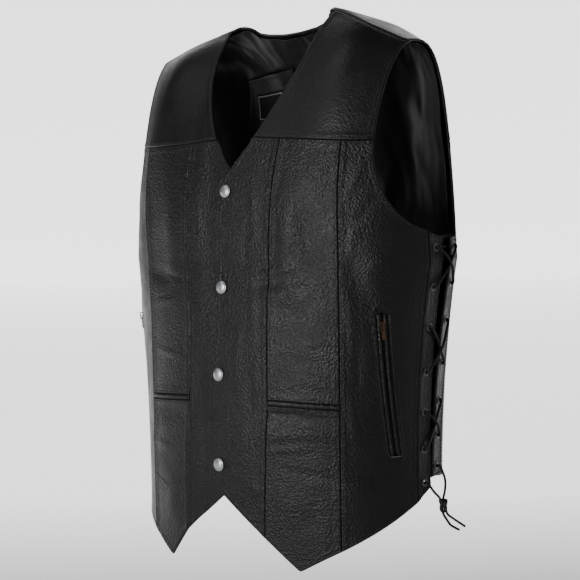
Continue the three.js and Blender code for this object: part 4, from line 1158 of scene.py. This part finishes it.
    @staticmethod
    def teeth(label, side, top, bottom, length):
        """Small blocks in two rows that mesh along the zip, under its slot."""
        marks = np.arange(3, length - 3, 1.5)
        spots = mirrored(top + (bottom - top) * (marks / length)[:, None], side)
        out = normal_at(spots)
        down = unit(skin(mirrored(bottom, side)) - skin(mirrored(top, side)))
        across = unit(np.cross(out, down))
        centre = under(spots, 1.6) + across * (0.45 * (-1.0) ** np.arange(len(marks)))[:, None]
        corner = np.array([(x, y, z) for z in (-1, 1) for x, y in ((-1, -1), (1, -1), (1, 1), (-1, 1))], float)
        wide, long, tall = (corner * (0.95, 0.5, 0.7)).T[..., None]
        points = centre[:, None] + wide * across[:, None] + long * down + tall * out[:, None]
        box = np.array(((3, 2, 1, 0), (4, 5, 6, 7), (0, 1, 5, 4), (1, 2, 6, 5), (2, 3, 7, 6), (3, 0, 4, 7)))
        quads = (box[None] + 8 * np.arange(len(marks))[:, None, None]).reshape(-1, 4)
        return solo(f"zip_teeth_{label}", points.reshape(-1, 3), [quads], "teeth", smooth_faces=False)

    def strip(self, label, side, column):
        """A lacing strip pierced by its eyelets, and the rings in them; its edges run straight in y and z."""
        shape = STRIPS[column]

        def line(key):
            k = int(key == "lacing")
            y = np.linspace(*map(float, shape[key]), 60)
            return edge(at_y(y, np.linspace(shape["top"][k], shape["bottom"][k], 60)))

        outer, lacing = line("outer"), line("lacing")
        low, high = (edge(np.linspace(outer(t), lacing(t), 20)) for t in (0.0, 1.0))
        piece = Panel(patch(low, high, outer, lacing, 1.3), side, (EDGE, EDGE, SEAM, EDGE))
        piece.stitch(False, True, True, True, 3)
        spots = eyelet_places(column, side)
        flat = skin(piece.places)
        middle = (flat[:-1, :-1] + flat[1:, 1:]) / 2
        keep = np.min(np.linalg.norm(middle[:, :, None] - skin(spots), axis=-1), -1) > EYELET_CUT
        rings = [
            lathe(f"{name}_{column}_{label}", EYELET_RING, spots, depth, "gunmetal", inward=depth > 0, sides=32)
            for name, depth in (("eyelets", 0.0), ("eyelet_backs", LEATHER))
        ]
        name, node = f"lace_strip_{column}_{label}", f"lace_{column}_{label}"
        piece.make(name, node, shape["flat"], "hung", keep=keep, more=rings, area=shape["area"])

    def gusset(self, label, side):
        """The leather behind the lacing, sewn under both strips; towards them it rises by a smooth step."""
        line = lambda y: edge(at_y(np.linspace(*y, 40), np.linspace(-254.0, -532.0, 40)))
        one, two = line((-13.0, -13.0)), line((47.0, 32.0))
        low, high = (edge(np.linspace(one(t), two(t), 20)) for t in (0.0, 1.0))
        places = patch(low, high, one, two, 3.0)
        gone = np.linspace(0, 1, places.shape[1])
        step = 4.5 * (1 - smooth(np.minimum(gone, 1 - gone), 0.02, 0.2))[None]
        lift = lambda places, flat: step + 0 * flat[..., 0]
        Panel(places, side, (EDGE, EDGE, PLAIN, PLAIN), depth=6.9, thick=1.4, extra=lift, creases=False).make(
            *named("gusset", label), (0.060, 0.279), "hung", area=0.0150
        )


class VEST_OT_back(bpy.types.Operator):
    """Back panel, back yoke over the shoulders and the gathered satin lining"""

    bl_idname = "vest.back"
    bl_label = "Back, yoke and lining"

    def execute(self, context):
        """The yoke's upper edge is the neck line, and past it the shoulder line of the front, reached by a
        smooth step of the level."""
        back = STRIPS["back"]
        y = np.linspace(back["outer"][1], back["outer"][0], 140)
        side_edge = np.concatenate([
            at_y(y, np.linspace(back["bottom"][0], back["top"][0], 140)), along(ARMHOLE_BACK[::-1], 12, True),
        ])
        one, two = self.unwrapped(mirrored(side_edge, -1)), self.unwrapped(side_edge)
        low, high = self.row(one[0], two[0], BACK_HEM_DIP), self.row(one[-1], two[-1], 0.0)
        panel = patch(edge(low), edge(high), edge(one), edge(two), 2.8)
        Panel(panel, 1, (EDGE, SEAM, EDGE, EDGE)).stitch(True, True, True, True).make(
            "back_panel_leather", "back_panel", (0.516, 0.410), "hung", area=0.191
        )

        x = np.linspace(0, SHOULDER_HALF, 120)
        start = BACK_NECK[-1][0]
        table = np.array(BACK_NECK, float)
        neck = at_x(x, np.interp(x, table[:, 0], table[:, 1]), True)
        climb = 1 + (1 - SHOULDER_LEVEL) * smooth(x, start, start + 9)
        over = np.stack([180 - at_x(x, -20.0)[:, 0], climb], -1)
        half = np.where((x > start)[:, None], over, neck)
        near = (x > start - 22) & (x <= start)
        half[:, 1] = np.where(near, np.maximum(half[:, 1], 0.97 * smooth(x, start - 60, start)), half[:, 1])
        top = self.unwrapped(np.concatenate([mirrored(half[::-1], -1)[:-1], half]))
        run = lambda a, b: edge(a + (b - a) * np.linspace(0, 1, 80)[:, None])
        yoke = patch(edge(high), edge(top), run(one[-1], top[0]), run(two[-1], top[-1]), 2.8)
        Panel(yoke, 1, (SEAM, EDGE, EDGE, EDGE)).stitch(True, True, True, True).make(
            "back_yoke_leather", "back_yoke", (0.470, 0.190), "draped", "smooth_leather", ("smooth", "satin"),
            area=0.0720,
        )
        self.lining(one, two, top)
        return {"FINISHED"}

    @staticmethod
    def unwrapped(places):
        """Angles counted past 180 degrees on the wearer's right side, so that rows run on across the back."""
        return np.stack([np.where(places[:, 0] < 0, places[:, 0] + 360, places[:, 0]), places[:, 1]], -1)

    @staticmethod
    def row(one, two, dip):
        """Places across the back between two ends; its middle hangs lower by the dip, as a parabola."""
        p = np.linspace(-1, 1, 160)
        angle, level = (one[k] + (two[k] - one[k]) * (p + 1) / 2 for k in (0, 1))
        return np.stack([angle, level - dip * (1 - p * p) / LEVEL_SCALE], -1)

    def lining(self, one, two, top):
        """Satin a little deeper than the back, gathered under the neck and creased by soft slanting waves."""
        inset = lambda places: np.stack([180 + (places[:, 0] - 180) * 0.97, places[:, 1]], -1)
        low = inset(self.row(one[24], two[24], 0.0))
        upper = inset(top)
        upper[:, 1] = np.minimum(upper[:, 1], 1.0) - 0.02
        share = np.linspace(0.02, 1, 60)[:, None]
        left, right = (
            np.concatenate([run, run[-1] + (end - run[-1]) * share])
            for run, end in ((inset(one[24:]), upper[0]), (inset(two[24:]), upper[-1]))
        )
        places = patch(edge(low), edge(upper), edge(left), edge(right), 2.6)

        def waves(places, flat):
            """Gathers: two sines of a wandering x under a bell at the neck. Slanting waves: the sine of a
            wandering slope to the power 1.5, kept off the patch."""
            x, z = flat[..., 0], flat[..., 2]
            wander = x + 5 * np.sin(z / 13 + x / 23) + 3 * np.sin(x / 9.1 + z / 31)
            gathers = (1 + np.sin(wander / 3.1) * np.sin(wander / 11.3 + 1)) / 2
            gathers = np.exp(-(((z + 12) / 40) ** 2)) * gathers * smooth(z, -150, -40)
            slope = (x * 0.6 + z * 0.62) / 24 + 1.6 * np.sin(z / 43) + 1.3 * np.sin(x / 37 + z / 60)
            label = smooth(np.abs(x - LABEL_X), 46, 76) + smooth(np.abs(z - PATCH_Z), 38, 62)
            slant = ((1 + np.sin(slope)) / 2) ** 1.5 * np.minimum(1, label) * smooth(-z, 70, 130)
            return -1.7 * gathers - 3.2 * slant

        Panel(places, 1, (PLAIN,) * 4, LINING_DEPTH, 1.0, extra=waves, creases=False).make(
            "lining_back_satin", "lining_back", (0.520, 0.560), "gathered", "satin_lining", ("satin", "satin"),
            area=0.240,
        )


class VEST_OT_labels(bpy.types.Operator):
    """Bare leather patch with a pinked edge and a bare woven label with a thin white border"""

    bl_idname = "vest.labels"
    bl_label = "Inside patch and label"

    def execute(self, context):
        spot = LABEL_X, PATCH_Z
        piece = Panel(self.grid(spot, PATCH_SIZE, 1.1, 1.2), 1, (PLAIN,) * 4, PATCH_DEPTH, 1.2, creases=False)
        loops = self.loop(4, piece.places.shape)
        piece.lines.append((piece.inner[loops], -grid_normals(piece.outer, piece.inner)[loops]))
        flat = (0.0945, 0.0723)
        piece.make("label_patch_leather", "label_patch", flat, "stretched", looks=("smooth", "smooth"))
        spot = LABEL_X, LABEL_Z
        ribbon = Panel(self.grid(spot, LABEL_SIZE, 2.0, 0.0), 1, (PLAIN,) * 4, LABEL_DEPTH, 0.6, creases=False)
        ribbon.make(
            "label_woven_ribbon", "label_woven", (0.066, 0.036), "stretched", "woven_label", ("woven", "woven"),
            more=(self.border(spot, LABEL_SIZE),),
        )
        return {"FINISHED"}

    @staticmethod
    def skewed(spot, x, z):
        """Places on the back round a spot; x grows by a share of z, and z by a share of x."""
        return at_x(spot[0] + x + SKEW[0] * z, spot[1] + z + SKEW[1] * x, True)

    def grid(self, spot, size, cell, pinked):
        """An even grid on the back, skewed a little with the cloth; every other border point stands out."""
        columns, rows = (int(length / cell) // 2 * 2 + 1 for length in size)
        s, t = np.linspace(-0.5, 0.5, columns), np.linspace(-0.5, 0.5, rows)
        gx, gz = np.meshgrid(s * size[0], t * size[1])
        gx[:, 0] -= pinked * (np.arange(rows) % 2)
        gx[:, -1] += pinked * (np.arange(rows) % 2)
        gz[0] -= pinked * (np.arange(columns) % 2)
        gz[-1] += pinked * (np.arange(columns) % 2)
        return self.skewed(spot, gx, gz)

    @staticmethod
    def loop(step, shape):
        """Rows and columns of the grid points that go round it, some steps in from its border."""
        rows, columns = shape[0] - 1 - step, shape[1] - 1 - step
        across, up = np.arange(step, columns + 1), np.arange(step, rows + 1)
        r = np.concatenate([np.full(len(across), step), up, np.full(len(across), rows), up[::-1]])
        c = np.concatenate([across, np.full(len(up), columns), across[::-1], np.full(len(up), step)])
        return r, c

    def border(self, spot, size):
        """A thin white line: two rectangles, one inside the other, joined into a ribbon."""
        share = np.linspace(0, 1, 25)[:-1]
        flat = np.full(24, 1.0)

        def rectangle(inset, lift):
            a, b = (length / 2 - inset for length in size)
            x = np.concatenate([-a + 2 * a * share, flat * a, a - 2 * a * share, flat * -a])
            z = np.concatenate([flat * -b, -b + 2 * b * share, flat * b, b - 2 * b * share])
            return under(self.skewed(spot, x, z), LABEL_DEPTH + lift, 0.0, False)

        loops = [rectangle(*where) for where in ((2.0, 0.65), (2.0, 0.9), (3.3, 0.9), (3.3, 0.65))]
        count = len(loops[0])
        index = np.arange(4 * count).reshape(4, count)
        ahead, inner = np.roll(index, -1, 1), np.roll(index, -1, 0)
        quads = np.stack([index, ahead, np.roll(ahead, -1, 0), inner], -1).reshape(-1, 4)
        return solo("label_border", np.concatenate(loops), [quads], "white", smooth_faces=False)


class VEST_OT_metal(bpy.types.Operator):
    """Snap caps down the front, and the finish of the zip sliders and pull tabs"""

    bl_idname = "vest.metal"
    bl_label = "Snaps and zip pulls"

    def execute(self, context):
        """A cap's profile is a rolled rim and a quarter ellipse."""
        cap = list(SNAP_RIM)
        for turn in np.linspace(0, 1, 9) * math.pi / 2:
            cap.append((6.4 * math.cos(turn) + 0.01, 1.35 + 1.7 * math.sin(turn)))
        for k, z in enumerate(SNAP_HEIGHTS):
            place = at_x(-2.0 - k, z)[None]
            obj = lathe(f"snap_dome_{k + 1}", cap, place, -0.7, "steel", closed=False, sides=48)
            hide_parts(f"snap_cap_{k + 1}")
        for label, _ in SIDES:
            for node in (f"zip_slider_{label}", f"pull_tab_{label}"):
                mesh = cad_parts[node].data
                mesh.materials.clear()
                mesh.materials.append(look("bronze"))
        return {"FINISHED"}


class VestSettings(bpy.types.PropertyGroup):
    """Sizes and colours that a user would change"""

    leather_dark: bpy.props.FloatProperty(
        name="Leather brightness", description="How much light the black leather gives back", default=0.008,
        min=0.001, max=0.5,
    )
    grain: bpy.props.FloatProperty(
        name="Grain depth", description="Strength of the pebbled grain", default=0.5, min=0, max=1,
        subtype="FACTOR",
    )
    lace_width: bpy.props.FloatProperty(
        name="Lace width", description="Diameter of the leather laces", default=0.0032, min=0.001, max=0.006,
        unit="LENGTH", subtype="DISTANCE",
    )
    light: bpy.props.FloatProperty(
        name="Light", description="Share of the studio lights' full power", default=1.0, min=0, max=10,
    )


class VEST_PT_pieces(bpy.types.Panel):
    """Lists the vest's pieces in the sidebar"""

    bl_label = "Leather vest"
    bl_idname = "VEST_PT_pieces"
    bl_space_type = "VIEW_3D"
    bl_region_type = "UI"
    bl_category = "Vest"

    def draw(self, context):
        for name in ("leather_dark", "grain", "lace_width", "light"):
            self.layout.prop(context.scene.vest_settings, name)
        for operator in OPERATORS:
            self.layout.operator(operator.bl_idname)


OPERATORS = (
    VEST_OT_stage, VEST_OT_laces, VEST_OT_fronts, VEST_OT_sides, VEST_OT_back, VEST_OT_labels, VEST_OT_metal,
)


def register():
    for part in (VestSettings, *OPERATORS, VEST_PT_pieces):
        bpy.utils.register_class(part)
    bpy.types.Scene.vest_settings = bpy.props.PointerProperty(type=VestSettings)


def unregister():
    del bpy.types.Scene.vest_settings
    for part in (VEST_PT_pieces, *reversed(OPERATORS), VestSettings):
        bpy.utils.unregister_class(part)


def main():
    register()
    for operator in OPERATORS:
        group, name = operator.bl_idname.split(".")
        getattr(getattr(bpy.ops, group), name)()


if __name__ == "__main__":
    main()
